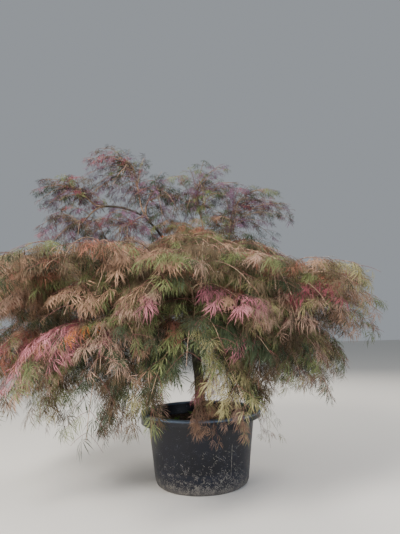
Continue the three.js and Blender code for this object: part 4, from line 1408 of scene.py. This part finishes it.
def leaf_blade(name, tint):
    """A waxy leaf blade of one tint."""
    material, tree = new_material(name)
    place = add(tree, "TexCoord").outputs["Object"]
    mottle = add(tree, "TexNoise", {"Vector": place, "Scale": 1 / LEAF_MOTTLE, "Detail": 2.0})
    ribs = add(tree, "TexNoise", {"Vector": place, "Scale": 1 / RIB_SPACING, "Detail": 1.0})
    amount = add(tree, "MapRange", {"Value": mottle.outputs["Fac"], "From Min": 0.3, "From Max": 0.7})
    base = np.array(linear(tint))
    darker, lighter = (base * DARKER).tolist(), np.minimum(base * LIGHTER, 1).tolist()
    mottled = {0: amount.outputs[0], 6: darker, 7: lighter}
    mottled = add(tree, "Mix", mottled, data_type="RGBA")
    bump = add(tree, "Bump", {"Strength": 0.25, "Distance": 0.0006, "Height": ribs.outputs["Fac"]})
    shader = {"Base Color": mottled.outputs[2], "Roughness": 0.62, "IOR": 1.42}
    shader.update({"Specular IOR Level": 0.25, "Normal": bump.outputs[0]})
    finish_material(tree, add(tree, "BsdfPrincipled", shader))
    return material


SLOT_OF_TINT = {
    "reddish_brown": "leaves_reddish",
    "umber": "leaves_reddish",
    "dull_crimson": "leaves_crimson",
    "pink": "leaves_pink",
    "pink_tan": "leaves_pink",
    "olive": "leaves_olive",
    "dark_green": "leaves_green",
    "tan": "leaves_tan",
    "orange": "leaves_reddish",
    "gold": "leaves_tan",
    "purple": "leaves_purple",
    "russet": "leaves_reddish",
}
print("mottle:", LEAF_MOTTLE, "ribs:", RIB_SPACING)

# %% [markdown]
# A leaf's own axes turn the shared shape to its place. Numpy does that for all leaves of a tint
# at once, and a tint with many leaves is split so that no piece grows too large to handle.

# %% Leaf meshes, one or more for each tint
LARGEST_PIECE = 180_000


def leaf_mesh(rows):
    """All leaves of some rows as one list of points and triangles."""
    parts = []
    for kind, (shape_points, shape_faces) in enumerate(LEAF_SHAPES):
        own = [row for row in rows if row[4] == kind]
        if not own:
            continue
        roots, axes, normals = (np.array([row[i] for row in own]) for i in range(3))
        lengths = np.array([row[3] for row in own])
        sides = np.cross(normals, axes)
        turned = np.stack([axes, sides, normals], axis=1)
        points = roots[:, None] + lengths[:, None, None] * (shape_points[None] @ turned)
        offsets = np.arange(len(own))[:, None, None] * len(shape_points)
        parts.append((points.reshape(-1, 3), (shape_faces[None] + offsets).reshape(-1, 3)))
    return joined(parts)


leaf_triangles = 0
triangles_each = max(len(faces) for _, faces in LEAF_SHAPES)
for tint, rows in leaf_rows.items():
    if not rows:
        continue
    blade = leaf_blade(f"leaf_blade_{tint}", TINTS[tint])
    pieces = math.ceil(len(rows) * triangles_each / LARGEST_PIECE)
    for part in range(pieces):
        points, faces = leaf_mesh(rows[part::pieces])
        name = f"leaves_{tint}_{part + 1}"
        piece(name, points, faces, blade, SLOT_OF_TINT[tint], MASS_NAMES, smooth=False)
        leaf_triangles += len(faces)
print("leaf triangles:", leaf_triangles)

# %% [markdown]
# ## The pot
# A container of this size is moulded from black recycled plastic. Its rim is rolled outward, with
# a skirt that is deeper at four hand grips. Its wall tapers, steps in a little above the foot and
# carries the seam of the mould, and its foot is rounded. A screw modifier could turn one profile
# round the axis, but here the skirt's lower edge and the seam move by azimuth, so arrays do it.

# %% Sizes of the pot
POT_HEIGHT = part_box("pot")[1][2]
POT_SIDES = 180
RIM_RADIUS = 0.375
RIM_ROUND = 0.007
RIM_DEPTH = 0.032
WALL_RADIUS = 0.339
POT_WALL = 0.005
WALL_WAVE = 0.0016
STEP_HEIGHT = 0.115
STEP_DEPTH = 0.0012
STEP_SLOPE = 0.003
FOOT_RADIUS = 0.285
FOOT_ROUND = 0.016
POT_FLOOR = 0.006
# the hand grips: how deep the skirt is there, their width in degrees and the first one's azimuth
GRIP_COUNT = 4
GRIP_DEPTH = 0.056
GRIP_BULGE = 0.002
GRIP_ARC = 26
GRIP_AZIMUTH = 26
# the seam of the mould: its azimuth, height of its ridge and half width in degrees
SEAM_AZIMUTH = 303
SEAM_RIDGE = 0.0016
SEAM_WIDTH = 0.55
WALL_SLOPE = (WALL_RADIUS - FOOT_RADIUS) / POT_HEIGHT


def arc(centre, radius, start, end, count):
    """Points of an arc in a profile of radius and height, by degrees."""
    angles = np.radians(np.linspace(start, end, count))
    return [(centre[0] + radius * math.cos(a), centre[1] + radius * math.sin(a)) for a in angles]


def stretch(start, end, count):
    """Even points from start up to, but without, end."""
    shares = np.linspace(0, 1, count, endpoint=False)
    return [tuple(np.array(start) + (np.array(end) - start) * s) for s in shares]


def wall_at(z):
    """Outer radius of the wall at a height."""
    return FOOT_RADIUS + WALL_SLOPE * z


print("pot height:", round(POT_HEIGHT, 3), "rim across:", round(2 * RIM_RADIUS, 3))

# %% [markdown]
# The profile runs from the middle of the underside out, up the wall, round the skirt and the rim,
# and down inside. Long stretches get extra points, so that the slight waves of a soft moulding
# have something to move.

# %% Profile of the pot
AXIS_HOLE = 0.002
INNER_LOW = 0.02

under_rim = POT_HEIGHT - RIM_ROUND
skirt_low = POT_HEIGHT - RIM_DEPTH
skirt_in = RIM_RADIUS - POT_WALL
rim_inner = wall_at(POT_HEIGHT) - POT_WALL
wall_low = FOOT_ROUND * 1.4
wall_high = under_rim - 0.01
profile = stretch((AXIS_HOLE, 0.0), (FOOT_RADIUS - FOOT_ROUND, 0.0), 10)
profile += arc((FOOT_RADIUS - FOOT_ROUND, FOOT_ROUND), FOOT_ROUND, -90, -8, 9)
wall_first = len(profile)
profile += stretch((wall_at(wall_low), wall_low), (wall_at(wall_high), wall_high), 46)
wall_last = len(profile)
profile += arc((wall_at(under_rim) + 0.008, wall_high), 0.008, 180, 90, 6)
profile += stretch((wall_at(under_rim) + 0.012, under_rim - 0.002), (skirt_in, under_rim - 0.002), 3)
skirt_first = len(profile)
profile += stretch((skirt_in, under_rim - 0.004), (skirt_in, skirt_low), 6)
profile += arc((RIM_RADIUS - POT_WALL / 2, skirt_low), POT_WALL / 2, 180, 360, 6)
profile += stretch((RIM_RADIUS, skirt_low + 0.001), (RIM_RADIUS, under_rim), 6)
skirt_last = len(profile)
profile += arc((RIM_RADIUS - RIM_ROUND, under_rim), RIM_ROUND, 0, 90, 8)
rim_out = (RIM_RADIUS - RIM_ROUND - 0.002, POT_HEIGHT)
profile += stretch(rim_out, (rim_inner + RIM_ROUND, POT_HEIGHT), 5)
profile += arc((rim_inner + RIM_ROUND, under_rim), RIM_ROUND, 90, 180, 7)
inner_end = (wall_at(INNER_LOW) - POT_WALL, INNER_LOW)
profile += stretch((wall_at(under_rim) - POT_WALL, under_rim - 0.004), inner_end, 24)
profile += stretch(inner_end, (AXIS_HOLE, POT_FLOOR), 5)
profile = np.array(profile)
print("points of the profile:", len(profile))

# %% [markdown]
# At each azimuth the profile is copied and changed a little: the skirt reaches down at a grip, the
# seam stands out from the wall, and the whole wall waves slightly, as a soft moulding does.

# %% Mesh of the pot


def grip_share(azimuth):
    """1 on a hand grip, 0 between grips, with a short slope on either side."""
    apart = min(angle_between(azimuth, GRIP_AZIMUTH + i * 360 / GRIP_COUNT) for i in range(GRIP_COUNT))
    return float(np.clip((GRIP_ARC / 2 - apart) / 1.6 + 0.5, 0, 1))


def step_in(z):
    """How far the wall is moved out, less than 0 for in. Only the band below the step isn't moved."""
    if 0.02 < z < wall_high:
        return -STEP_DEPTH * (1 / (1 + math.exp(-(z - STEP_HEIGHT) / STEP_SLOPE)))
    return -STEP_DEPTH


pot_points = np.zeros((POT_SIDES, len(profile), 3))
skirt = slice(skirt_first, skirt_last)
outside = slice(wall_first + 1, wall_last - 1)
for j in range(POT_SIDES):
    azimuth = j * 360 / POT_SIDES
    grip = grip_share(azimuth)
    ring = profile.copy()
    below = np.clip((under_rim - ring[skirt, 1]) / (under_rim - skirt_low), 0, 1.2)
    ring[skirt, 1] -= below * (GRIP_DEPTH - RIM_DEPTH) * grip
    ring[skirt, 0] += GRIP_BULGE * grip * (ring[skirt, 0] > RIM_RADIUS - POT_WALL / 2)
    seam = math.exp(-((angle_between(azimuth, SEAM_AZIMUTH) / SEAM_WIDTH) ** 2))
    ring[outside, 0] += SEAM_RIDGE * seam
    direction = outward(azimuth)
    for k, (radius, z) in enumerate(ring):
        spot = Vector((direction[0] * 1.6, direction[1] * 1.6, z * 5))
        wave = WALL_WAVE * noise.noise(spot) * min(1.0, z / 0.05) * min(1.0, radius / 0.2)
        inward = step_in(z) if k < skirt_first else 0
        pot_points[j, k] = direction * (radius + wave + inward) + UP * z

places_each = len(profile)
column = np.arange(places_each - 1)
pot_faces = []
for j in range(POT_SIDES):
    here, there = j * places_each + column, (j + 1) % POT_SIDES * places_each + column
    pot_faces.append(np.stack([here, there, there + 1, here + 1], 1))
pot_faces = np.concatenate(pot_faces)
print("pot faces:", len(pot_faces))

# %% [markdown]
# Moulded polypropylene is a dark blue-black with a low sheen. Years in the yard scuffed it: fine
# pale scratches run every way, the wall is paler below the step, and rain has thrown mud
# up from the ground. The mud is thick at the foot and thins out in specks a hand's breadth or two
# up.

# %% Mud, dust and scratches on the pot
MUD_TOP = 0.24
MUD_BAND = (0.012, 0.055)
SPECK_SIZE = 0.0045
SPLASH_SPACING = 0.0294
SCRATCH_SPACING = 0.05
SCRATCH_STRETCH = 7.0
SCRATCH_WIDTH = 0.012


def scratches_on(tree, place, blots):
    """How strongly pale scratches show: thin lines, broken up into short runs."""
    turned = {"Vector": place, "Rotation": (0.5, 0.3, 0.2), "Scale": (1.0, 1.0, SCRATCH_STRETCH)}
    slanted = add(tree, "Mapping", turned)
    cells = {"Vector": slanted.outputs[0], "Scale": 1 / SCRATCH_SPACING, "Randomness": 1.0}
    edges = add(tree, "TexVoronoi", cells, feature="DISTANCE_TO_EDGE")
    fade = {"Value": edges.outputs["Distance"], "From Max": SCRATCH_WIDTH, "To Min": 1.0, "To Max": 0.0}
    lines = add(tree, "MapRange", fade)
    broken = add(tree, "MapRange", {"Value": blots, "From Min": 0.52, "From Max": 0.62})
    shown = add(tree, "Math", {0: lines.outputs[0], 1: broken.outputs[0]}, operation="MULTIPLY")
    return shown.outputs[0]


def mud_on(tree, height, specks, blots, clouds):
    """How much dried mud shows: a crust at the foot, and splashes that thin out upward."""
    low = add(tree, "MapRange", {"Value": height, "From Max": MUD_TOP, "To Min": 1.0, "To Max": 0.0})
    splash = add(tree, "Math", {0: specks, 1: blots}, operation="ADD")
    spread = add(tree, "Math", {0: low.outputs[0], 1: 0.34}, operation="MULTIPLY")
    reach = add(tree, "Math", {0: splash.outputs[0], 1: spread.outputs[0]}, operation="ADD")
    cut = {"Value": reach.outputs[0], "From Min": 1.29, "From Max": 1.37, "To Max": 0.75}
    specked = add(tree, "MapRange", cut)
    band_low, band_high = MUD_BAND
    crust = {"Value": height, "From Min": band_low, "From Max": band_high, "To Min": 0.6, "To Max": 0.0}
    crust = add(tree, "MapRange", crust)
    foot = add(tree, "Math", {0: crust.outputs[0], 1: clouds}, operation="MULTIPLY")
    both = {0: specked.outputs[0], 1: foot.outputs[0]}
    return add(tree, "Math", both, operation="MAXIMUM", use_clamp=True).outputs[0]


def dust_on(tree, height, clouds):
    """How much grey dust lies on the wall in clouds, and how much paler the wall is below the step."""
    film = add(tree, "MapRange", {"Value": clouds, "From Min": 0.45, "From Max": 0.75, "To Max": 0.4})
    below = {"Value": height, "From Min": STEP_HEIGHT - 0.004, "From Max": STEP_HEIGHT}
    below.update({"To Min": 0.3, "To Max": 0.0})
    stepped = add(tree, "MapRange", below)
    both = {0: film.outputs[0], 1: stepped.outputs[0]}
    return add(tree, "Math", both, operation="ADD", use_clamp=True).outputs[0]


print("mud up to:", MUD_TOP, "specks of:", SPECK_SIZE)

# %% [markdown]
# The layers are laid on one by one: plastic, dust, a painted highlight along the top of the rim,
# scratches and mud on top. A dry crust is rougher than plastic and stands up from it, so the same
# shares drive both.

# %% Material of the pot
DUST_CLOUD = 0.1667
# the top band of the rim, which is lightened as a painted highlight of the sky
RIM_HIGHLIGHT_BAND = (POT_HEIGHT - 0.012, POT_HEIGHT - 0.003)
BARE_PLASTIC = "#060914"
DUSTY = "#1a1f2f"
RIM_HIGHLIGHT = "#6b7d92"
SCRATCHED = "#80869a"
DRY_MUD = "#7d7870"


def moulded_plastic():
    """Weathered black polypropylene with dust, scratches, mud splashes and a painted rim highlight."""
    material, tree = new_material("moulded_polypropylene")
    place = add(tree, "TexCoord").outputs["Object"]
    height = add(tree, "SeparateXYZ", {0: place}).outputs["Z"]
    clouds = {"Vector": place, "Scale": 1 / DUST_CLOUD, "Detail": 6.0, "Roughness": 0.62}
    clouds = add(tree, "TexNoise", clouds).outputs["Fac"]
    specks = {"Vector": place, "Scale": 1 / SPECK_SIZE, "Detail": 3.0}
    specks = add(tree, "TexNoise", specks).outputs["Fac"]
    blots = {"Vector": place, "Scale": 1 / SPLASH_SPACING, "Detail": 5.0, "Roughness": 0.7}
    blots = add(tree, "TexNoise", blots).outputs["Fac"]
    # painted highlight: by height, the rim's top edge is mixed towards a pale blue-grey
    edge_low, edge_high = RIM_HIGHLIGHT_BAND
    rim = {"Value": height, "From Min": edge_low, "From Max": edge_high, "To Max": 0.9}
    rim = add(tree, "MapRange", rim).outputs[0]
    mud = mud_on(tree, height, specks, blots, clouds)
    layers = [
        (dust_on(tree, height, clouds), DUSTY),
        (rim, RIM_HIGHLIGHT),
        (scratches_on(tree, place, blots), SCRATCHED),
        (mud, DRY_MUD),
    ]
    colour = linear(BARE_PLASTIC)
    for amount, layer in layers:
        laid = {0: amount, 6: colour, 7: linear(layer)}
        colour = add(tree, "Mix", laid, data_type="RGBA").outputs[2]
    gloss = {"Value": clouds, "From Min": 0.3, "From Max": 0.7, "To Min": 0.3, "To Max": 0.5}
    rough = add(tree, "MapRange", gloss)
    dull = add(tree, "Math", {0: rough.outputs[0], 1: mud}, operation="ADD", use_clamp=True)
    relief = add(tree, "Math", {0: mud, 1: specks}, operation="ADD")
    bump = add(tree, "Bump", {"Strength": 0.35, "Distance": 0.0012, "Height": relief.outputs[0]})
    shader = {"Base Color": colour, "Roughness": dull.outputs[0], "IOR": 1.49}
    shader.update({"Specular IOR Level": 0.35, "Normal": bump.outputs[0]})
    finish_material(tree, add(tree, "BsdfPrincipled", shader))
    return material


pot = piece("pot_shell", pot_points.reshape(-1, 3), pot_faces, moulded_plastic(), "pot", ["pot"])
print("pot material:", pot.data.materials[0].name)

# %% [markdown]
# Dry clippings of grass stick where they were splashed on, and one pale trickle has dried along
# the seam at the right. They are slivers of mesh laid on the wall, because a viewer sees them one by one.

# %% Clippings on the wall of the pot
CLIPPING_COUNT = 260
CLIPPING_LENGTHS = (0.005, 0.020)
CLIPPING_WIDTH = 0.0016
CLIPPING_LIFT = 0.0022
CLIPPING_LOW = 0.03
CLIPPING_RANGE = 0.27
# every third clipping sticks between these azimuths, on the right half of the front
THICK_SIDE = (268, 320)
POINTED = 0.35
TRICKLE_HEIGHTS = (0.10, 0.27)
TRICKLE_WIDTH = 0.0032
TRICKLE_STEPS = 8
STRAW_MOTTLE = 0.0167


def sliver(azimuth, z, length, slope, width):
    """Points and triangles of a thin strip on the wall, rising by `slope` radians."""
    points = []
    for step in (-1, 0, 1):
        along, rise = step * length / 2 * math.cos(slope), step * length / 2 * math.sin(slope)
        narrowing = 1 if step == 0 else POINTED
        for aside in (-1, 1):
            height = z + rise + aside * width / 2 * math.cos(slope) * narrowing
            around = along - aside * width / 2 * math.sin(slope) * narrowing
            radius = wall_at(height) + CLIPPING_LIFT
            points.append(outward(azimuth + math.degrees(around / radius)) * radius + UP * height)
    return np.array(points), np.array([(0, 2, 1), (1, 2, 3), (2, 4, 3), (3, 4, 5)])


clipping_random = np.random.default_rng(19)
slivers = []
for i in range(CLIPPING_COUNT):
    azimuth = 360 * ((i * GOLDEN) % 1) if i % 3 else clipping_random.uniform(*THICK_SIDE)
    z = CLIPPING_LOW + CLIPPING_RANGE * clipping_random.beta(1.1, 2.2)
    length = clipping_random.uniform(*CLIPPING_LENGTHS)
    slivers.append(sliver(azimuth, z, length, clipping_random.uniform(0, math.pi), CLIPPING_WIDTH))
trickle_low, trickle_high = TRICKLE_HEIGHTS
for k in range(TRICKLE_STEPS):
    z = trickle_low + (trickle_high - trickle_low) * (k + 0.5) / TRICKLE_STEPS
    length = (trickle_high - trickle_low) / TRICKLE_STEPS * 1.1
    width = TRICKLE_WIDTH * clipping_random.uniform(0.5, 1)
    slivers.append(sliver(SEAM_AZIMUTH, z, length, math.pi / 2, width))

dry_grass, tree = new_material("dry_grass")
straw_place = add(tree, "TexCoord").outputs["Object"]
straws = add(tree, "TexNoise", {"Vector": straw_place, "Scale": 1 / STRAW_MOTTLE})
straw_mix = {0: straws.outputs["Fac"], 6: linear("#5f5c55"), 7: linear("#b9b6ab")}
straw_colour = add(tree, "Mix", straw_mix, data_type="RGBA")
straw_shader = {"Base Color": straw_colour.outputs[2], "Roughness": 0.8, "IOR": 1.4}
finish_material(tree, add(tree, "BsdfPrincipled", straw_shader))
piece("clippings", *joined(slivers), dry_grass, "pot", ["pot"], smooth=False)
print("clippings:", len(slivers))

# %% [markdown]
# ## Compost
# The pot is filled with damp bark compost to a hand's breadth under the rim. Its surface is
# lumpy, a little higher round the trunk, with bark chips, some moss on the left, small weeds and
# the leaves that the plant has shed.

# %% Surface of the compost
COMPOST_TOP = 0.350
COMPOST_MOUND = 0.006
MOUND_RADIUS = 0.110
MOUND_FOOT = 0.33
COMPOST_RINGS = 60
COMPOST_SIDES = 150
COMPOST_FLOOR = 0.012
LUMP_HEIGHT = 0.006
CRUMB_HEIGHT = 0.0025


def compost_height(x, y):
    """Height of the compost's surface at a place."""
    radius = math.hypot(x, y)
    rise = min(1.0, max(0.0, (MOUND_FOOT - radius) / (MOUND_FOOT - MOUND_RADIUS)) * 2)
    lumps = LUMP_HEIGHT * noise.fractal(Vector((x * 22, y * 22, 0.3)), 1.0, 2.0, 4)
    crumbs = CRUMB_HEIGHT * noise.noise(Vector((x * 130, y * 130, 1.7)))
    return COMPOST_TOP - COMPOST_MOUND + COMPOST_MOUND * rise + lumps + crumbs


compost_points = []
compost_radius = wall_at(COMPOST_TOP) - POT_WALL - 0.001
for k in range(COMPOST_RINGS):
    for j in range(COMPOST_SIDES):
        radius = compost_radius * (0.01 + 0.99 * k / (COMPOST_RINGS - 1))
        x, y, _ = outward(j * 360 / COMPOST_SIDES) * radius
        compost_points.append((x, y, compost_height(x, y)))
for j in range(COMPOST_SIDES):
    x, y, _ = outward(j * 360 / COMPOST_SIDES) * (wall_at(COMPOST_FLOOR) - POT_WALL - 0.004)
    compost_points.append((x, y, COMPOST_FLOOR))
ring = np.arange(COMPOST_SIDES)
beside = (ring + 1) % COMPOST_SIDES
compost_faces = []
for k in range(COMPOST_RINGS):
    low, high = k * COMPOST_SIDES, (k + 1) * COMPOST_SIDES
    compost_faces.append(np.stack([low + ring, high + ring, high + beside, low + beside], 1))
compost_faces = np.concatenate(compost_faces)
print("compost faces:", len(compost_faces))

# %% [markdown]
# Damp bark compost is nearly black in its hollows and brown on its crumbs, with a green film where
# it stays wet. It has no sheen at all.

# %% Material of the compost
CRUMB_SIZE = 0.00625
LUMP_SPACING = 0.0417


def damp_compost():
    """Dark, fibrous compost with a film of moss in places."""
    material, tree = new_material("bark_compost")
    place = add(tree, "TexCoord").outputs["Object"]
    crumbs = {"Vector": place, "Scale": 1 / CRUMB_SIZE, "Detail": 6.0, "Roughness": 0.7}
    crumbs = add(tree, "TexNoise", crumbs).outputs["Fac"]
    lumps = add(tree, "TexNoise", {"Vector": place, "Scale": 1 / LUMP_SPACING, "Detail": 4.0})
    earth = {0: crumbs, 6: linear("#1d1611"), 7: linear("#5a4634")}
    earth = add(tree, "Mix", earth, data_type="RGBA")
    film = add(tree, "MapRange", {"Value": lumps.outputs["Fac"], "From Min": 0.54, "From Max": 0.66})
    mossy = {0: film.outputs[0], 6: earth.outputs[2], 7: linear("#4a5a2c")}
    mossy = add(tree, "Mix", mossy, data_type="RGBA")
    bump = add(tree, "Bump", {"Strength": 0.8, "Distance": 0.004, "Height": crumbs})
    shader = {"Base Color": mossy.outputs[2], "Roughness": 0.92, "Normal": bump.outputs[0]}
    finish_material(tree, add(tree, "BsdfPrincipled", shader))
    return material


compost_material = damp_compost()
piece("compost_fill", compost_points, compost_faces, compost_material, "compost", ["compost"])
print("compost material:", compost_material.name)

# %% [markdown]
# Chips, weeds and shed leaves are scattered by a seeded row of random numbers, so that they fall
# in the same places each time. A chip is a bent splinter of bark. A weed is a rosette of small
# pointed blades.

# %% Bark chips, weeds and fallen leaves
CHIP_COUNT = 420
WEED_COUNT = 34
FALLEN_COUNT = 60
FALLEN_LENGTH = 0.08
FALLEN_SHAPE = 3
SCATTER_RADIUS = 0.30
# how near to the axis chips, weeds and fallen leaves lie at least
CHIP_INNER = 0.07
WEED_INNER = 0.12
FALLEN_INNER = 0.10
scatter = np.random.default_rng(41)


def scatter_place(inner):
    """A random place on the compost between the trunk and the wall."""
    radius = math.sqrt(scatter.uniform(inner**2, SCATTER_RADIUS**2))
    x, y, _ = outward(scatter.uniform(0, 360)) * radius
    return np.array([x, y, compost_height(x, y)])


def chip(place):
    """Points and faces of one splinter of bark."""
    length, width, thick = scatter.uniform(0.008, 0.032), scatter.uniform(0.004, 0.011), 0.0022
    heading = outward(scatter.uniform(0, 360)) + UP * scatter.normal(0, 0.25)
    heading = unit(heading)
    side = unit(np.cross(UP, heading))
    top = unit(np.cross(heading, side))
    corners = []
    for x, w in ((-0.5, 0.5), (0.0, 1.0), (0.5, 0.35)):
        for y, z in ((-1, -1), (1, -1), (1, 1), (-1, 1)):
            lift = 0.12 * length * (0.25 - x * x)
            corner = heading * x * length + side * y * w * width / 2 + top * (z * thick / 2 + lift)
            corners.append(place + UP * 0.002 + corner)
    faces = [(0, 3, 2, 1), (8, 9, 10, 11)]
    for k in (0, 4):
        faces += [(k + i, k + (i + 1) % 4, k + 4 + (i + 1) % 4, k + 4 + i) for i in range(4)]
    return np.array(corners), np.array(faces)


def weed(place):
    """Points and triangles of a small rosette."""
    points, faces = [], []
    blades = scatter.integers(5, 10)
    for i in range(blades):
        way = outward(360 * i / blades + scatter.uniform(-20, 20))
        length = scatter.uniform(0.012, 0.034)
        side = np.cross(UP, way) * length * 0.24
        rise = UP * length * scatter.uniform(0.4, 1.1)
        start = len(points)
        middle = place + way * length * 0.5 + rise * 0.8
        points += [place, middle - side, middle + side, place + way * length + rise * 0.7]
        faces += [(start, start + 1, start + 2), (start + 1, start + 3, start + 2)]
    return np.array(points), np.array(faces)


chip_material = bark("bark_chips", "#7a6350", "#3a2b22", "#4c4a3a")
chips = joined([chip(scatter_place(CHIP_INNER)) for _ in range(CHIP_COUNT)])
piece("bark_chips", *chips, chip_material, "compost", ["compost"], smooth=False)
weeds = joined([weed(scatter_place(WEED_INNER)) for _ in range(WEED_COUNT)])
weed_material = leaf_blade("weed_leaf", "#55702f")
piece("small_weeds", *weeds, weed_material, "leaves_green", ["compost"], smooth=False)

fallen_rows = []
for _ in range(FALLEN_COUNT):
    place = scatter_place(FALLEN_INNER)
    axis = unit(outward(scatter.uniform(0, 360)) + UP * scatter.normal(0, 0.06))
    normal = UP + scatter.normal(0, 0.15, 3)
    normal = unit(normal - (normal @ axis) * axis)
    length = FALLEN_LENGTH * scatter.uniform(0.7, 1.1)
    fallen_rows.append((place + UP * 0.008, axis, normal, length, FALLEN_SHAPE))
fallen_material = leaf_blade("fallen_leaf", "#7a4a38")
fallen_mesh = leaf_mesh(fallen_rows)
piece("fallen_leaves", *fallen_mesh, fallen_material, "leaves_reddish", ["compost"], smooth=False)
print("chips, weeds, fallen leaves:", CHIP_COUNT, WEED_COUNT, FALLEN_COUNT)

# %% [markdown]
# ## Finish
# The box of the dressed model is printed, as that of the imported one was at the start.

# %% Sizes and the end
low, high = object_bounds()
print("visual box:", [round(v, 3) for v in (*low, *high)])
